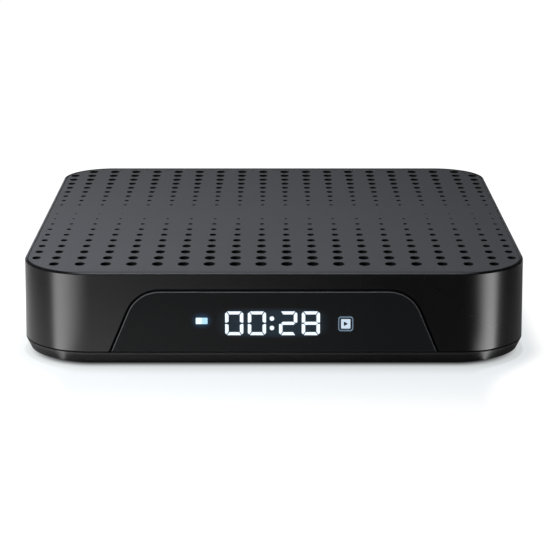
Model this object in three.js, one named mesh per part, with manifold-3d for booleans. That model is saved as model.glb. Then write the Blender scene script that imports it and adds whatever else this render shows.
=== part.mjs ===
// A square streaming box: a gloss shell under a perforated lid, a smoked display window in front,
// and inside it the circuit board with its heatsink, display, antenna and sockets.
import * as THREE from 'three';
import { mergeGeometries, mergeVertices } from 'three/addons/utils/BufferGeometryUtils.js';
import Module from 'manifold-3d';

const wasm = await Module();
wasm.setup();

// Driving dimensions in millimetres. X runs to the right seen from the front, Y to the back, Z up.
const bodySide = 105; // outline where shell and base meet
const topHeight = 20; // rim of the shell over the table
const frontCornerRadius = 15;
const rearCornerRadius = 12;
const wallLean = 0.25; // each wall leans in by this much from its foot to the rim
const footProud = 1; // how far the feet hold the base off the table
const baseBand = 2.15; // height of the base's visible edge
const partingGap = 0.25; // dark groove between base and shell
const wallThickness = 1.8; // at the rim
const fitGap = 0.1; // between pieces that slide together
const clearGap = 0.3; // round pieces that pass through another
const overrun = 1; // how far a cutter reaches past the surface it opens
const weld = 1e-4; // vertices nearer than this are one

// Counts
const cornerSteps = 8;
const footSides = 16;
const roundSides = 12;
const smallSides = 8;
const arcSteps = 5;

// Heights and insets that several pieces share
const partingHeight = footProud + baseBand;
const shellFoot = partingHeight + partingGap;
const cavityInset = wallLean + wallThickness;
const basePlate = 1.6;
const baseFloor = footProud + basePlate;
const boardPost = 1.2; // the main board stands this far above the base's floor
const boardSeat = baseFloor + boardPost;
const boardThickness = 1.6;
const boardTop = boardSeat + boardThickness;
const boardInset = 5.5;
const boardHalf = bodySide / 2 - boardInset;
const socketSetback = 0.6; // socket mouths stand back from the widest outline
const socketFace = bodySide / 2 - socketSetback;

const quarterTurn = Math.PI / 2;

// Looks

const shellLook = { color: 0x1b1c1e, roughness: 0.18, metalness: 0 };
const lidLook = { color: 0x525358, roughness: 0.62, metalness: 0 };
const windowLook = { color: 0x121214, roughness: 0.06, metalness: 0 };
const baseLook = { color: 0x1e1e20, roughness: 0.5, metalness: 0 };
const rubberLook = { color: 0x17181a, roughness: 0.9, metalness: 0 };
const screwLook = { color: 0x2c2c2f, roughness: 0.4, metalness: 0.9 };
const boardLook = { color: 0x163a2a, roughness: 0.45, metalness: 0 };
const chipLook = { color: 0x202124, roughness: 0.55, metalness: 0 };
const padLook = { color: 0x9aa3b5, roughness: 0.9, metalness: 0 };
const heatsinkLook = { color: 0x8f9399, roughness: 0.45, metalness: 0.9 };
const socketShellLook = { color: 0xb4b6ba, roughness: 0.3, metalness: 1 };
const mouldingLook = { color: 0x1c1c1e, roughness: 0.5, metalness: 0 };
const displayLook = { color: 0xcfe0f2, roughness: 0.5, metalness: 0 };
const copperLook = { color: 0xb08050, roughness: 0.4, metalness: 0.8 };
const leadLook = { color: 0x25262a, roughness: 0.6, metalness: 0 };

const streamingBox = new THREE.Group();
streamingBox.name = 'streaming_box';

function addPiece(name, geometry, look) {
  const faceted = geometry.index ? geometry.toNonIndexed() : geometry;
  faceted.computeVertexNormals();
  const mesh = new THREE.Mesh(faceted, new THREE.MeshStandardMaterial(look));
  mesh.name = name;
  streamingBox.add(mesh);
  return mesh;
}

// Solids: a closed geometry becomes one, is joined or cut, and turns back into a geometry.

function positionsOnly(geometry) {
  const bare = geometry.index ? geometry.toNonIndexed() : geometry.clone();
  bare.deleteAttribute('normal');
  bare.deleteAttribute('uv');
  return bare;
}

function solidOf(...geometries) {
  const merged = mergeVertices(mergeGeometries(geometries.map(positionsOnly)), weld);
  return new wasm.Manifold(
    new wasm.Mesh({
      numProp: 3,
      vertProperties: merged.attributes.position.array,
      triVerts: new Uint32Array(merged.index.array),
    }),
  );
}

function geometryOf(solid) {
  const { vertProperties, triVerts } = solid.getMesh();
  const geometry = new THREE.BufferGeometry();
  geometry.setAttribute('position', new THREE.BufferAttribute(vertProperties, 3));
  geometry.setIndex(new THREE.BufferAttribute(triVerts, 1));
  return geometry;
}

const joined = (first, ...rest) => rest.reduce((sum, next) => sum.add(next), first);
const cut = (first, ...rest) => rest.reduce((left, next) => left.subtract(next), first);

// Plain forms, placed by the limits that they fill.

function block([left, right], [front, rear], [bottom, top]) {
  const form = new THREE.BoxGeometry(right - left, rear - front, top - bottom);
  return form.translate((left + right) / 2, (front + rear) / 2, (bottom + top) / 2);
}

const around = (middle, size) => [middle - size / 2, middle + size / 2];

function uprightRod({ x, y }, radius, [bottom, top], sides = roundSides) {
  const form = new THREE.CylinderGeometry(radius, radius, top - bottom, sides);
  return form.rotateX(quarterTurn).translate(x, y, (bottom + top) / 2);
}

function levelRod({ x, z }, radius, [front, rear], sides = roundSides) {
  const form = new THREE.CylinderGeometry(radius, radius, rear - front, sides);
  return form.translate(x, (front + rear) / 2, z);
}

// A profile of [radius, height] pairs, turned about the Z axis.
function turned(profile, sides = roundSides) {
  const points = profile.map(([radius, height]) => new THREE.Vector2(radius, height));
  return new THREE.LatheGeometry(points, sides).rotateX(quarterTurn);
}

// An outline drawn in X and Z, made a slab that runs back along Y.
function standingSlab(shape, [front, rear], bevel = 0) {
  const form = new THREE.ExtrudeGeometry(shape, {
    depth: rear - front - 2 * bevel,
    bevelEnabled: bevel > 0,
    bevelThickness: bevel,
    bevelSize: bevel,
    bevelOffset: -bevel,
    bevelSegments: 1,
    curveSegments: arcSteps,
  });
  return form.rotateX(quarterTurn).translate(0, rear - bevel, 0);
}

// An outline drawn in X and Y, made a slab between two heights.
function lyingSlab(shape, [bottom, top], curveSegments = arcSteps) {
  const depth = top - bottom;
  const form = new THREE.ExtrudeGeometry(shape, { depth, bevelEnabled: false, curveSegments });
  return form.translate(0, 0, bottom);
}

// The body's rounded square, drawn in by an inset.

function bodyOutline(inset) {
  const half = bodySide / 2 - inset;
  const corners = [
    { right: 1, back: -1, radius: frontCornerRadius - inset },
    { right: 1, back: 1, radius: rearCornerRadius - inset },
    { right: -1, back: 1, radius: rearCornerRadius - inset },
    { right: -1, back: -1, radius: frontCornerRadius - inset },
  ];
  return corners.flatMap(({ right, back, radius }, quarter) =>
    Array.from({ length: cornerSteps + 1 }, (_, step) => {
      const angle = (quarter - 1 + step / cornerSteps) * quarterTurn;
      return new THREE.Vector2(
        right * (half - radius) + radius * Math.cos(angle),
        back * (half - radius) + radius * Math.sin(angle),
      );
    }),
  );
}

// A closed skin over a stack of these outlines, from the bottom up: [height, inset] for each.
function bodyLoft(levels) {
  const outlines = levels.map(([, inset]) => bodyOutline(inset));
  const count = outlines[0].length;
  const positions = levels.flatMap(([height], level) =>
    outlines[level].flatMap(({ x, y }) => [x, y, height]),
  );
  const faces = [];
  for (let level = 0; level < levels.length - 1; level += 1) {
    for (let point = 0; point < count; point += 1) {
      const here = level * count + point;
      const next = level * count + ((point + 1) % count);
      faces.push(here, next, next + count, here, next + count, here + count);
    }
  }
  const lid = (levels.length - 1) * count;
  for (const [a, b, c] of THREE.ShapeUtils.triangulateShape(outlines[0], [])) {
    faces.push(a, c, b);
    faces.push(lid + a, lid + b, lid + c);
  }
  const geometry = new THREE.BufferGeometry();
  geometry.setAttribute('position', new THREE.Float32BufferAttribute(positions, 3));
  return geometry.setIndex(faces);
}

// How far the wall leans in at a height, and a form pushed back by as much.
const leanAt = (height) => (wallLean * (height - shellFoot)) / (topHeight - shellFoot);

function leanWithWall(geometry) {
  const places = geometry.attributes.position;
  for (let i = 0; i < places.count; i += 1) {
    places.setY(i, places.getY(i) + leanAt(places.getZ(i)));
  }
  return geometry;
}

// Screw posts stand in the shell's corners, sunk a little into the wall.
const bossRadius = 3.2;
const bossSink = 0.6;
const screwPost = 2.4; // the base's posts, on which the shell's bosses stand
const bossFoot = baseFloor + screwPost;

const cornerPlaces = [
  { name: 'front_left', right: -1, back: -1, cornerRadius: frontCornerRadius },
  { name: 'front_right', right: 1, back: -1, cornerRadius: frontCornerRadius },
  { name: 'rear_left', right: -1, back: 1, cornerRadius: rearCornerRadius },
  { name: 'rear_right', right: 1, back: 1, cornerRadius: rearCornerRadius },
].map(({ name, right, back, cornerRadius }) => {
  const reach = cornerRadius - cavityInset - bossRadius + bossSink;
  const offset = bodySide / 2 - cornerRadius + reach * Math.SQRT1_2;
  return { name, right, back, boss: { x: right * offset, y: back * offset } };
});

// Case screws come up through the base, and their heads stay in counterbores.
const caseScrew = { headRadius: 2.5, headHeight: 1.6, shankRadius: 1.3, length: 8 };
const counterboreDepth = 2;
const caseScrewSeat = footProud + counterboreDepth;
const pilotGap = 0.15;

// Board screws come down through the board into low posts on the base.
const boardScrew = { headRadius: 2.3, headHeight: 1.4, shankRadius: 1.1, length: 3.4 };
const boardScrewMargin = 6; // in from the board's side edge
const boardPostRadius = 2.6;

// Sockets: each stands on the board and looks out through its own cut in the wall.

const ethernet = { width: 16, height: 11.2, depth: 16 };
const hdmi = { width: 15, height: 5.6, depth: 11.5, sheet: 0.5, chamfer: 1.6 };
const avJack = { width: 6.4, height: 6, depth: 12.5, bore: 1.8, barrel: 2.9, nose: 3 };
const powerJack = { width: 9, height: 9.6, depth: 13, bore: 2.9, bed: 9, pin: 1 };
const usb = { width: 13.1, height: 5.7, depth: 14, sheet: 0.4 };
const microSd = { width: 14, height: 1.9, depth: 14.5 };
const cardSlot = { width: 11.4, height: 1, depth: 11.5 };

const socketSpacing = 4; // between neighbours in a row
const socketToScrew = 1.5;

// The middles of a row of widths that stands centred on its wall.
function rowMiddles(widths) {
  const length = widths.reduce((sum, width) => sum + width + socketSpacing, -socketSpacing);
  let start = -length / 2;
  return widths.map((width) => {
    const middle = start + width / 2;
    start += width + socketSpacing;
    return middle;
  });
}

const rearRow = rowMiddles([ethernet.width, hdmi.width, avJack.width, powerJack.width]);
const [ethernetX, hdmiX, avX, powerX] = rearRow;
const sideRow = rowMiddles([usb.width, usb.width, microSd.width]);
const usbPlaces = sideRow.slice(0, 2);
const cardY = sideRow[2];
const avCentre = { x: avX, z: boardTop + avJack.height / 2 };
const powerCentre = { x: powerX, z: boardTop + powerJack.height / 2 };

const boardScrewPlace = ({ right, back }) => ({
  x: right * (boardHalf - boardScrewMargin),
  y: back * (cardY + microSd.width / 2 + socketToScrew + boardScrew.headRadius),
});

// The metal sleeve of the video socket has its two lower corners cut off.
function hdmiOutline(grow) {
  const half = hdmi.width / 2 + grow;
  const bottom = boardTop - grow;
  const top = boardTop + hdmi.height + grow;
  const slope = hdmi.chamfer + grow * Math.tan(quarterTurn / 4);
  return new THREE.Shape([
    new THREE.Vector2(hdmiX - half + slope, bottom),
    new THREE.Vector2(hdmiX + half - slope, bottom),
    new THREE.Vector2(hdmiX + half, bottom + slope),
    new THREE.Vector2(hdmiX + half, top),
    new THREE.Vector2(hdmiX - half, top),
    new THREE.Vector2(hdmiX - half, bottom + slope),
  ]);
}

// Front window: a trapezium with large round shoulders, which ends at the parting line.
const windowFootWidth = 66.7;
const windowDrop = 3.9; // from the rim of the shell down to the window
const windowTop = topHeight - windowDrop;
const windowSlant = THREE.MathUtils.degToRad(23);
const windowShoulder = 7;
const windowThickness = 1;
const windowGlue = 0.05;
const windowGap = 0.15;
const windowBevel = 0.2;

function windowOutline(grow, foot) {
  const top = windowTop + grow;
  const shoulder = windowShoulder + grow;
  const flank = (height) =>
    windowFootWidth / 2 + grow / Math.cos(windowSlant) - (height - shellFoot) * Math.tan(windowSlant);
  const shoulderX = flank(top) - shoulder * Math.tan((quarterTurn - windowSlant) / 2);
  const shape = new THREE.Shape();
  shape.moveTo(-flank(foot), foot);
  shape.lineTo(flank(foot), foot);
  shape.absarc(shoulderX, top - shoulder, shoulder, windowSlant, quarterTurn);
  shape.absarc(-shoulderX, top - shoulder, shoulder, quarterTurn, 2 * quarterTurn - windowSlant);
  return shape;
}

// Display: a block of digits on a small upright board along the front edge of the main board.
const displayRise = 3.6; // middle of the digits over the main board
const displayGap = 0.5; // behind the window
const digitHeight = 5.08;
const digitWidth = 3.85;
const strokeWidth = 0.75;
const digitGap = 0.6;
const colonGap = 2.8;
const colonDot = 0.95;
const segmentRelief = 0.2;
const displayBlock = { width: 36, height: 7.2 };
const displayBoard = { height: 9.4, thickness: 1, margin: 2.2 };
const displayBoardRear = -boardHalf;
const displayBoardFront = displayBoardRear - displayBoard.thickness;
const displayHeight = boardTop + displayRise;
const displayFace = windowThickness + leanAt(displayHeight) + displayGap - bodySide / 2;
const infraredRadius = 2.3;
const infraredGap = 2.2; // from the block of digits
const infraredX = displayBlock.width / 2 + infraredGap + infraredRadius;
const displayBoardWidth = 2 * (infraredX + infraredRadius + displayBoard.margin);

function makeFrontWindow() {
  const face = -bodySide / 2;
  const shape = windowOutline(0, shellFoot);
  const slab = standingSlab(shape, [face, face + windowThickness - windowGlue], windowBevel);
  return addPiece('front_window', leanWithWall(slab), windowLook);
}

// Shell: an open ring with a gloss rim, a ledge for the lid and all the cuts for window and sockets.
const rimWidth = 0.6;
const rimRound = 0.4;
const footRound = 0.15;
const rimSteps = 3;
const lidThickness = 1.8;
const lidDrop = 0.1; // the lid lies this much under the rim
const ledgeWidth = 1.6;
const ledgeThickness = 1.2;
const lidTop = topHeight - lidDrop;
const lidSeat = lidTop - lidThickness;
const ledgeFoot = lidSeat - ledgeThickness;
const lidInset = wallLean + rimWidth;
const ledgeInset = cavityInset + ledgeWidth;
const bossHeadroom = 0.6;

function shellSkin() {
  const levels = [
    [shellFoot, footRound],
    [shellFoot + footRound, leanAt(shellFoot + footRound)],
  ];
  for (let step = 0; step <= rimSteps; step += 1) {
    const angle = (step / rimSteps) * quarterTurn;
    const height = topHeight - rimRound * (1 - Math.sin(angle));
    levels.push([height, leanAt(height) + rimRound * (1 - Math.cos(angle))]);
  }
  return solidOf(bodyLoft(levels));
}

function shellHollow() {
  return joined(
    solidOf(bodyLoft([[shellFoot - overrun, cavityInset], [ledgeFoot, cavityInset]])),
    solidOf(bodyLoft([[ledgeFoot - overrun, ledgeInset], [lidSeat + overrun, ledgeInset]])),
    solidOf(bodyLoft([[lidSeat, lidInset], [topHeight + overrun, lidInset]])),
  );
}

function shellBosses() {
  const bosses = cornerPlaces.map(({ boss }) =>
    uprightRod(boss, bossRadius, [bossFoot, lidSeat - bossHeadroom]),
  );
  const pilotDepth = [bossFoot - overrun, caseScrewSeat + caseScrew.length + overrun];
  const pilots = cornerPlaces.map(({ boss }) =>
    uprightRod(boss, caseScrew.shankRadius + pilotGap, pilotDepth, smallSides),
  );
  return { bosses: solidOf(...bosses), pilots: solidOf(...pilots) };
}

function windowCuts() {
  const face = -bodySide / 2;
  const recessFoot = shellFoot - overrun;
  const recessDepth = [face - overrun, face + windowThickness];
  const recess = standingSlab(windowOutline(windowGap, recessFoot), recessDepth);
  const throughWall = [face, face + cavityInset + overrun];
  const displayCut = block(
    around(0, displayBlock.width + 2 * clearGap),
    throughWall,
    around(displayHeight, displayBlock.height + 2 * clearGap),
  );
  const infraredPlace = { x: infraredX, z: displayHeight };
  const infraredCut = levelRod(infraredPlace, infraredRadius + clearGap, throughWall);
  return solidOf(leanWithWall(recess)).add(solidOf(displayCut, infraredCut));
}

function socketCuts() {
  const inner = bodySide / 2 - ledgeInset - overrun;
  const throughRear = [inner, bodySide / 2 + overrun];
  const throughLeft = [-bodySide / 2 - overrun, -inner];
  const standing = (height) => [boardTop - clearGap, boardTop + height + clearGap];
  return solidOf(
    standingSlab(hdmiOutline(clearGap), throughRear),
    block(around(ethernetX, ethernet.width + 2 * clearGap), throughRear, standing(ethernet.height)),
    levelRod(avCentre, avJack.barrel + clearGap, throughRear),
    levelRod(powerCentre, powerJack.width / 2 + clearGap, throughRear),
    ...usbPlaces.map((y) => block(throughLeft, around(y, usb.width + 2 * clearGap), standing(usb.height))),
    block(throughLeft, around(cardY, microSd.width + 2 * clearGap), standing(microSd.height)),
  );
}

function makeHousing() {
  const { bosses, pilots } = shellBosses();
  const ring = cut(shellSkin(), shellHollow());
  const housing = cut(joined(ring, bosses), pilots, windowCuts(), socketCuts());
  return addPiece('housing', geometryOf(housing), shellLook);
}

// Lid: a plate full of holes, in a front and a rear field whose holes shrink towards the middle.
const columnPitch = 5.36;
const outerColumnMargin = 2.75; // in from the body's widest outline
const outerColumnX = bodySide / 2 - outerColumnMargin;
const outerGapShare = 0.7; // least pitch between the outermost column and the next
const frontRowMargin = 8.2;
const frontRowY = frontRowMargin - bodySide / 2;
const frontRowPitch = 5.08;
const rearRowMargin = 4.6;
const rearRowY = bodySide / 2 - rearRowMargin;
const rearRowPitch = 4.68;
const widestHole = 2.1;
const smallestHole = 0.45;
const hexagonFrom = 2; // wider holes get six sides, the others four
const fadeShare = 0.7;
const holeMargin = 0.3; // least material between a hole and the lid's edge
const lidEdge = 0.15;

function holeColumns() {
  const columns = [-outerColumnX, outerColumnX];
  for (let x = columnPitch / 2; x < outerColumnX - outerGapShare * columnPitch; x += columnPitch) {
    columns.push(-x, x);
  }
  return columns;
}

function holeRows() {
  const middle = (frontRowY + rearRowY) / 2;
  const reach = (rearRowY - frontRowY) / 2;
  const rows = [];
  for (let y = frontRowY; y < middle; y += frontRowPitch) rows.push(y);
  for (let y = rearRowY; y > middle; y -= rearRowPitch) rows.push(y);
  return rows
    .map((y) => ({ y, diameter: widestHole * (Math.abs(y - middle) / reach) ** fadeShare }))
    .filter(({ diameter }) => diameter >= smallestHole);
}

// Whether a round hole keeps its margin to the lid's rounded corner.
function clearsCorner(x, y, diameter) {
  const cornerRadius = y < 0 ? frontCornerRadius : rearCornerRadius;
  const arcCentre = bodySide / 2 - cornerRadius;
  const pastX = Math.abs(x) - arcCentre;
  const pastY = Math.abs(y) - arcCentre;
  if (pastX < 0 || pastY < 0) return true;
  const lidRadius = cornerRadius - lidInset - fitGap - lidEdge;
  return Math.hypot(pastX, pastY) + diameter / 2 + holeMargin < lidRadius;
}

function lidHoles() {
  const depth = [lidSeat - overrun, lidTop + overrun];
  return holeRows().flatMap(({ y, diameter }) =>
    holeColumns()
      .filter((x) => clearsCorner(x, y, diameter))
      .map((x) => uprightRod({ x, y }, diameter / 2, depth, diameter > hexagonFrom ? 6 : 4)),
  );
}

// Snap hooks hang from the lid through the ledge's opening and catch under it.
const hook = { width: 6, thickness: 1.1, barb: 0.8, barbHeight: 1.3 };
const hookSpread = 34;

function lidHook() {
  const outer = -(bodySide / 2 - ledgeInset - fitGap);
  const catchHeight = ledgeFoot - fitGap;
  const profile = new THREE.Shape([
    new THREE.Vector2(outer + hook.thickness, lidSeat + lidEdge),
    new THREE.Vector2(outer, lidSeat + lidEdge),
    new THREE.Vector2(outer, catchHeight),
    new THREE.Vector2(outer - hook.barb, catchHeight),
    new THREE.Vector2(outer, catchHeight - hook.barbHeight),
    new THREE.Vector2(outer + hook.thickness, catchHeight - hook.barbHeight),
  ]);
  const form = new THREE.ExtrudeGeometry(profile, { depth: hook.width, bevelEnabled: false });
  return form.rotateX(quarterTurn).translate(0, hook.width / 2, 0);
}

function makeTopPanel() {
  const edge = lidInset + fitGap;
  const plate = bodyLoft([[lidSeat, edge], [lidTop - lidEdge, edge], [lidTop, edge + lidEdge]]);
  const hooks = [0, 1, 2, 3].flatMap((side) =>
    [-hookSpread, hookSpread].map((along) => lidHook().translate(0, along, 0).rotateZ(side * quarterTurn)),
  );
  const panel = cut(joined(solidOf(plate), solidOf(...hooks)), solidOf(...lidHoles()));
  return addPiece('top_panel', geometryOf(panel), lidLook);
}

// Base: a shallow pan whose band tapers inwards, with a lip inside the shell, posts and vents.
const baseTaper = 0.9;
const baseEdge = 0.2;
const lipThickness = 1.2;
const lipHeight = 1.45;
const lipGap = 0.2;
const lipTop = partingHeight + lipHeight;
const lipInset = cavityInset + lipGap;
const counterboreWall = 1;
const footRadius = 5;
const footRecess = 0.6;
const footSideInset = 16.5;
const footEndInset = 15.5;
const vent = { columns: 2, rows: 9, length: 24, width: 1.8, columnPitch: 30, rowPitch: 4.4 };
const slotArcSteps = 2;

const footPlace = ({ right, back }) => ({
  x: right * (bodySide / 2 - footSideInset),
  y: back * (bodySide / 2 - footEndInset),
});

function ventSlots() {
  const slots = [];
  for (let column = 0; column < vent.columns; column += 1) {
    for (let row = 0; row < vent.rows; row += 1) {
      const x = (column - (vent.columns - 1) / 2) * vent.columnPitch;
      const y = (row - (vent.rows - 1) / 2) * vent.rowPitch;
      const straight = (vent.length - vent.width) / 2;
      const shape = new THREE.Shape();
      shape.absarc(x + straight, y, vent.width / 2, -quarterTurn, quarterTurn);
      shape.absarc(x - straight, y, vent.width / 2, quarterTurn, 3 * quarterTurn);
      slots.push(lyingSlab(shape, [footProud - overrun, baseFloor + overrun], slotArcSteps));
    }
  }
  return slots;
}

const counterboreRadius = caseScrew.headRadius + clearGap;
const screwPostRadius = counterboreRadius + counterboreWall;

// A block that fills the lip's outline, from inside the base plate up to a height.
const insideLip = (top) => solidOf(bodyLoft([[baseFloor - basePlate / 2, lipInset], [top, lipInset]]));

function basePan() {
  const pan = bodyLoft([
    [footProud, baseTaper + baseEdge],
    [footProud + baseEdge, baseTaper],
    [partingHeight - baseEdge, 0],
    [partingHeight, baseEdge],
  ]);
  const hollowInset = lipInset + lipThickness;
  const hollow = bodyLoft([[baseFloor, hollowInset], [lipTop + overrun, hollowInset]]);
  return cut(joined(solidOf(pan), insideLip(lipTop)), solidOf(hollow));
}

function basePosts() {
  const plateMiddle = baseFloor - basePlate / 2;
  const screwPosts = cornerPlaces.map(({ boss }) =>
    uprightRod(boss, screwPostRadius, [plateMiddle, bossFoot]),
  );
  const boardPosts = cornerPlaces.map((corner) =>
    uprightRod(boardScrewPlace(corner), boardPostRadius, [plateMiddle, boardSeat]),
  );
  return joined(solidOf(...screwPosts).intersect(insideLip(bossFoot)), solidOf(...boardPosts));
}

function baseOpenings() {
  const below = footProud - overrun;
  const boardBore = [boardTop - boardScrew.length - fitGap, boardSeat + overrun];
  const sockets = cornerPlaces.flatMap((corner) => [
    uprightRod(corner.boss, counterboreRadius, [below, caseScrewSeat]),
    uprightRod(footPlace(corner), footRadius + fitGap, [below, footProud + footRecess], footSides),
  ]);
  const bores = cornerPlaces.flatMap((corner) => [
    uprightRod(corner.boss, caseScrew.shankRadius + clearGap, [footProud, bossFoot + overrun], smallSides),
    uprightRod(boardScrewPlace(corner), boardScrew.shankRadius + pilotGap, boardBore, smallSides),
  ]);
  return joined(solidOf(...sockets), solidOf(...bores), solidOf(...ventSlots()));
}

function makeBaseCover() {
  const base = cut(joined(basePan(), basePosts()), baseOpenings());
  return addPiece('base_cover', geometryOf(base), baseLook);
}

// Feet: chamfered rubber discs stuck into shallow recesses.
const footChamfer = 0.4;

function makeFoot(corner) {
  const { x, y } = footPlace(corner);
  const top = footProud + footRecess;
  const disc = turned(
    [[0, 0], [footRadius - footChamfer, 0], [footRadius, footChamfer], [footRadius, top], [0, top]],
    footSides,
  );
  addPiece(`foot_${corner.name}`, disc.translate(x, y, 0), rubberLook);
}

// Screws are drawn head up, with the seat of the head at height zero.
const crossSlot = { width: 0.6, depth: 0.8, lengthShare: 0.6 };
const screwCrown = 0.4;
const screwTip = 0.6;

function screwForm({ headRadius, headHeight, shankRadius, length }) {
  const body = turned(
    [
      [0, -length],
      [shankRadius - screwTip / 2, -length],
      [shankRadius, -length + screwTip],
      [shankRadius, 0],
      [headRadius, 0],
      [headRadius, headHeight - screwCrown],
      [headRadius - screwCrown, headHeight],
      [0, headHeight],
    ],
    smallSides,
  );
  const reach = 2 * headRadius * crossSlot.lengthShare;
  const slotDepth = [headHeight - crossSlot.depth, headHeight + overrun];
  const alongX = block(around(0, reach), around(0, crossSlot.width), slotDepth);
  const alongY = block(around(0, crossSlot.width), around(0, reach), slotDepth);
  return geometryOf(cut(solidOf(body), solidOf(alongX).add(solidOf(alongY))));
}

function makeScrews(corner) {
  const { boss } = corner;
  const fromBelow = screwForm(caseScrew).rotateX(2 * quarterTurn).translate(boss.x, boss.y, caseScrewSeat);
  addPiece(`case_screw_${corner.name}`, fromBelow, screwLook);
  const { x, y } = boardScrewPlace(corner);
  addPiece(`board_screw_${corner.name}`, screwForm(boardScrew).translate(x, y, boardTop), screwLook);
}

// Main board: it follows the body's outline, with its corners cut back round the screw posts.
function makeMainBoard() {
  const plate = solidOf(bodyLoft([[boardSeat, boardInset], [boardTop, boardInset]]));
  const depth = [boardSeat - overrun, boardTop + overrun];
  const notches = cornerPlaces.map(({ boss }) => uprightRod(boss, screwPostRadius + clearGap, depth));
  const holes = cornerPlaces.map((corner) =>
    uprightRod(boardScrewPlace(corner), boardScrew.shankRadius + clearGap, depth, smallSides),
  );
  const board = cut(plate, solidOf(...notches), solidOf(...holes));
  addPiece('main_board', geometryOf(board), boardLook);
}

// Digits: seven bars with pointed ends each, four digits and a colon, raised on the display block.

function barShape(x, z, length, upright) {
  const half = length / 2;
  const point = strokeWidth / 2;
  const corners = [
    [-half, 0], [-half + point, -point], [half - point, -point],
    [half, 0], [half - point, point], [-half + point, point],
  ];
  const turnedCorners = corners.map(([along, across]) =>
    upright ? new THREE.Vector2(x - across, z + along) : new THREE.Vector2(x + along, z + across),
  );
  return new THREE.Shape(turnedCorners);
}

function digitBars(left) {
  const middle = left + digitWidth / 2;
  const reach = (digitWidth - strokeWidth) / 2;
  const rise = (digitHeight - strokeWidth) / 2;
  const levelLength = 2 * reach - fitGap;
  const uprightLength = rise - fitGap;
  const level = [-1, 0, 1].map((step) => barShape(middle, displayHeight + step * rise, levelLength, false));
  const upright = [-1, 1].flatMap((side) =>
    [-1, 1].map((half) => {
      const barMiddle = displayHeight + (half * rise) / 2;
      return barShape(middle + side * reach, barMiddle, uprightLength, true);
    }),
  );
  return [...level, ...upright];
}

const pairWidth = 2 * digitWidth + digitGap;
const digitLefts = [-1, 1].flatMap((side) => {
  const pairLeft = side < 0 ? -colonGap / 2 - pairWidth : colonGap / 2;
  return [pairLeft, pairLeft + digitWidth + digitGap];
});
const colonRiseShare = 0.2;
const colonPlaces = [-1, 1].map((side) => displayHeight + side * colonRiseShare * digitHeight);
const leftIcon = { x: -14.75, width: 2.5, height: 1.4 };
const rightIcon = { x: 14.7, width: 3.1, height: 3.1 };

function makeDisplayModule() {
  const relief = [displayFace - segmentRelief, displayFace + segmentRelief];
  const body = block(
    around(0, displayBlock.width),
    [displayFace, displayBoardFront],
    around(displayHeight, displayBlock.height),
  );
  const bars = digitLefts.flatMap(digitBars).map((shape) => standingSlab(shape, relief));
  const dots = colonPlaces.map((z) => levelRod({ x: 0, z }, colonDot / 2, relief, smallSides));
  const icons = [leftIcon, rightIcon].map(({ x, width, height }) =>
    block(around(x, width), relief, around(displayHeight, height)),
  );
  const raised = solidOf(...bars, ...dots, ...icons);
  addPiece('display_module', geometryOf(joined(solidOf(body), raised)), displayLook);
}

function makeDisplayBoard() {
  const plate = block(
    around(0, displayBoardWidth),
    [displayBoardFront, displayBoardRear],
    [boardSeat, boardSeat + displayBoard.height],
  );
  addPiece('display_board', plate, boardLook);
}

// The remote control's receiver is a small can with a domed front.
function makeInfraredReceiver() {
  const reach = displayBoardFront - displayFace;
  const dome = infraredRadius / 2;
  const profile = [[0, 0], [infraredRadius, 0], [infraredRadius, reach - dome]];
  for (let step = 1; step < arcSteps; step += 1) {
    const angle = (step / arcSteps) * quarterTurn;
    profile.push([infraredRadius * Math.cos(angle), reach - dome + dome * Math.sin(angle)]);
  }
  profile.push([0, reach]);
  const form = turned(profile).rotateX(quarterTurn);
  addPiece('ir_receiver', form.translate(infraredX, displayBoardFront, displayHeight), mouldingLook);
}

// Chips and cooling.
const processor = { x: 0, y: -4, width: 14, height: 1.4 };
const thermalPadThickness = 0.5;
const heatsink = { width: 34, base: 1.5, height: 6, fins: 9, finThickness: 1.3 };
const memory = { gap: 1, firstY: -12, pitch: 16, width: 9, length: 12, height: 1 };
const flash = { gap: 2.5, width: 11.5, length: 13, height: 1 };

function chip(name, { x, y }, [width, length, height], look = chipLook) {
  addPiece(name, block(around(x, width), around(y, length), [boardTop, boardTop + height]), look);
}

function makeChips() {
  chip('soc_chip', processor, [processor.width, processor.width, processor.height]);
  const memoryX = processor.x - (heatsink.width + memory.width) / 2 - memory.gap;
  [0, 1].forEach((count) => {
    const place = { x: memoryX, y: memory.firstY + count * memory.pitch };
    chip(`memory_chip_${count + 1}`, place, [memory.width, memory.length, memory.height]);
  });
  const flashPlace = { x: processor.x, y: processor.y + (heatsink.width + flash.length) / 2 + flash.gap };
  chip('flash_chip', flashPlace, [flash.width, flash.length, flash.height]);
}

function makeCooling() {
  const padFoot = boardTop + processor.height;
  const sinkFoot = padFoot + thermalPadThickness;
  const padSides = [around(processor.x, processor.width), around(processor.y, processor.width)];
  addPiece('thermal_pad', block(...padSides, [padFoot, sinkFoot]), padLook);
  const half = heatsink.width / 2;
  const comb = [new THREE.Vector2(half, 0), new THREE.Vector2(half, heatsink.height)];
  const finPitch = (heatsink.width - heatsink.finThickness) / (heatsink.fins - 1);
  for (let fin = 1; fin < heatsink.fins; fin += 1) {
    const outer = half - (fin - 1) * finPitch - heatsink.finThickness;
    const next = half - fin * finPitch;
    comb.push(new THREE.Vector2(outer, heatsink.height), new THREE.Vector2(outer, heatsink.base));
    comb.push(new THREE.Vector2(next, heatsink.base), new THREE.Vector2(next, heatsink.height));
  }
  comb.push(new THREE.Vector2(-half, heatsink.height), new THREE.Vector2(-half, 0));
  const sink = standingSlab(new THREE.Shape(comb), around(0, heatsink.width));
  addPiece('heatsink', sink.translate(processor.x, processor.y, sinkFoot), heatsinkLook);
}

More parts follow.
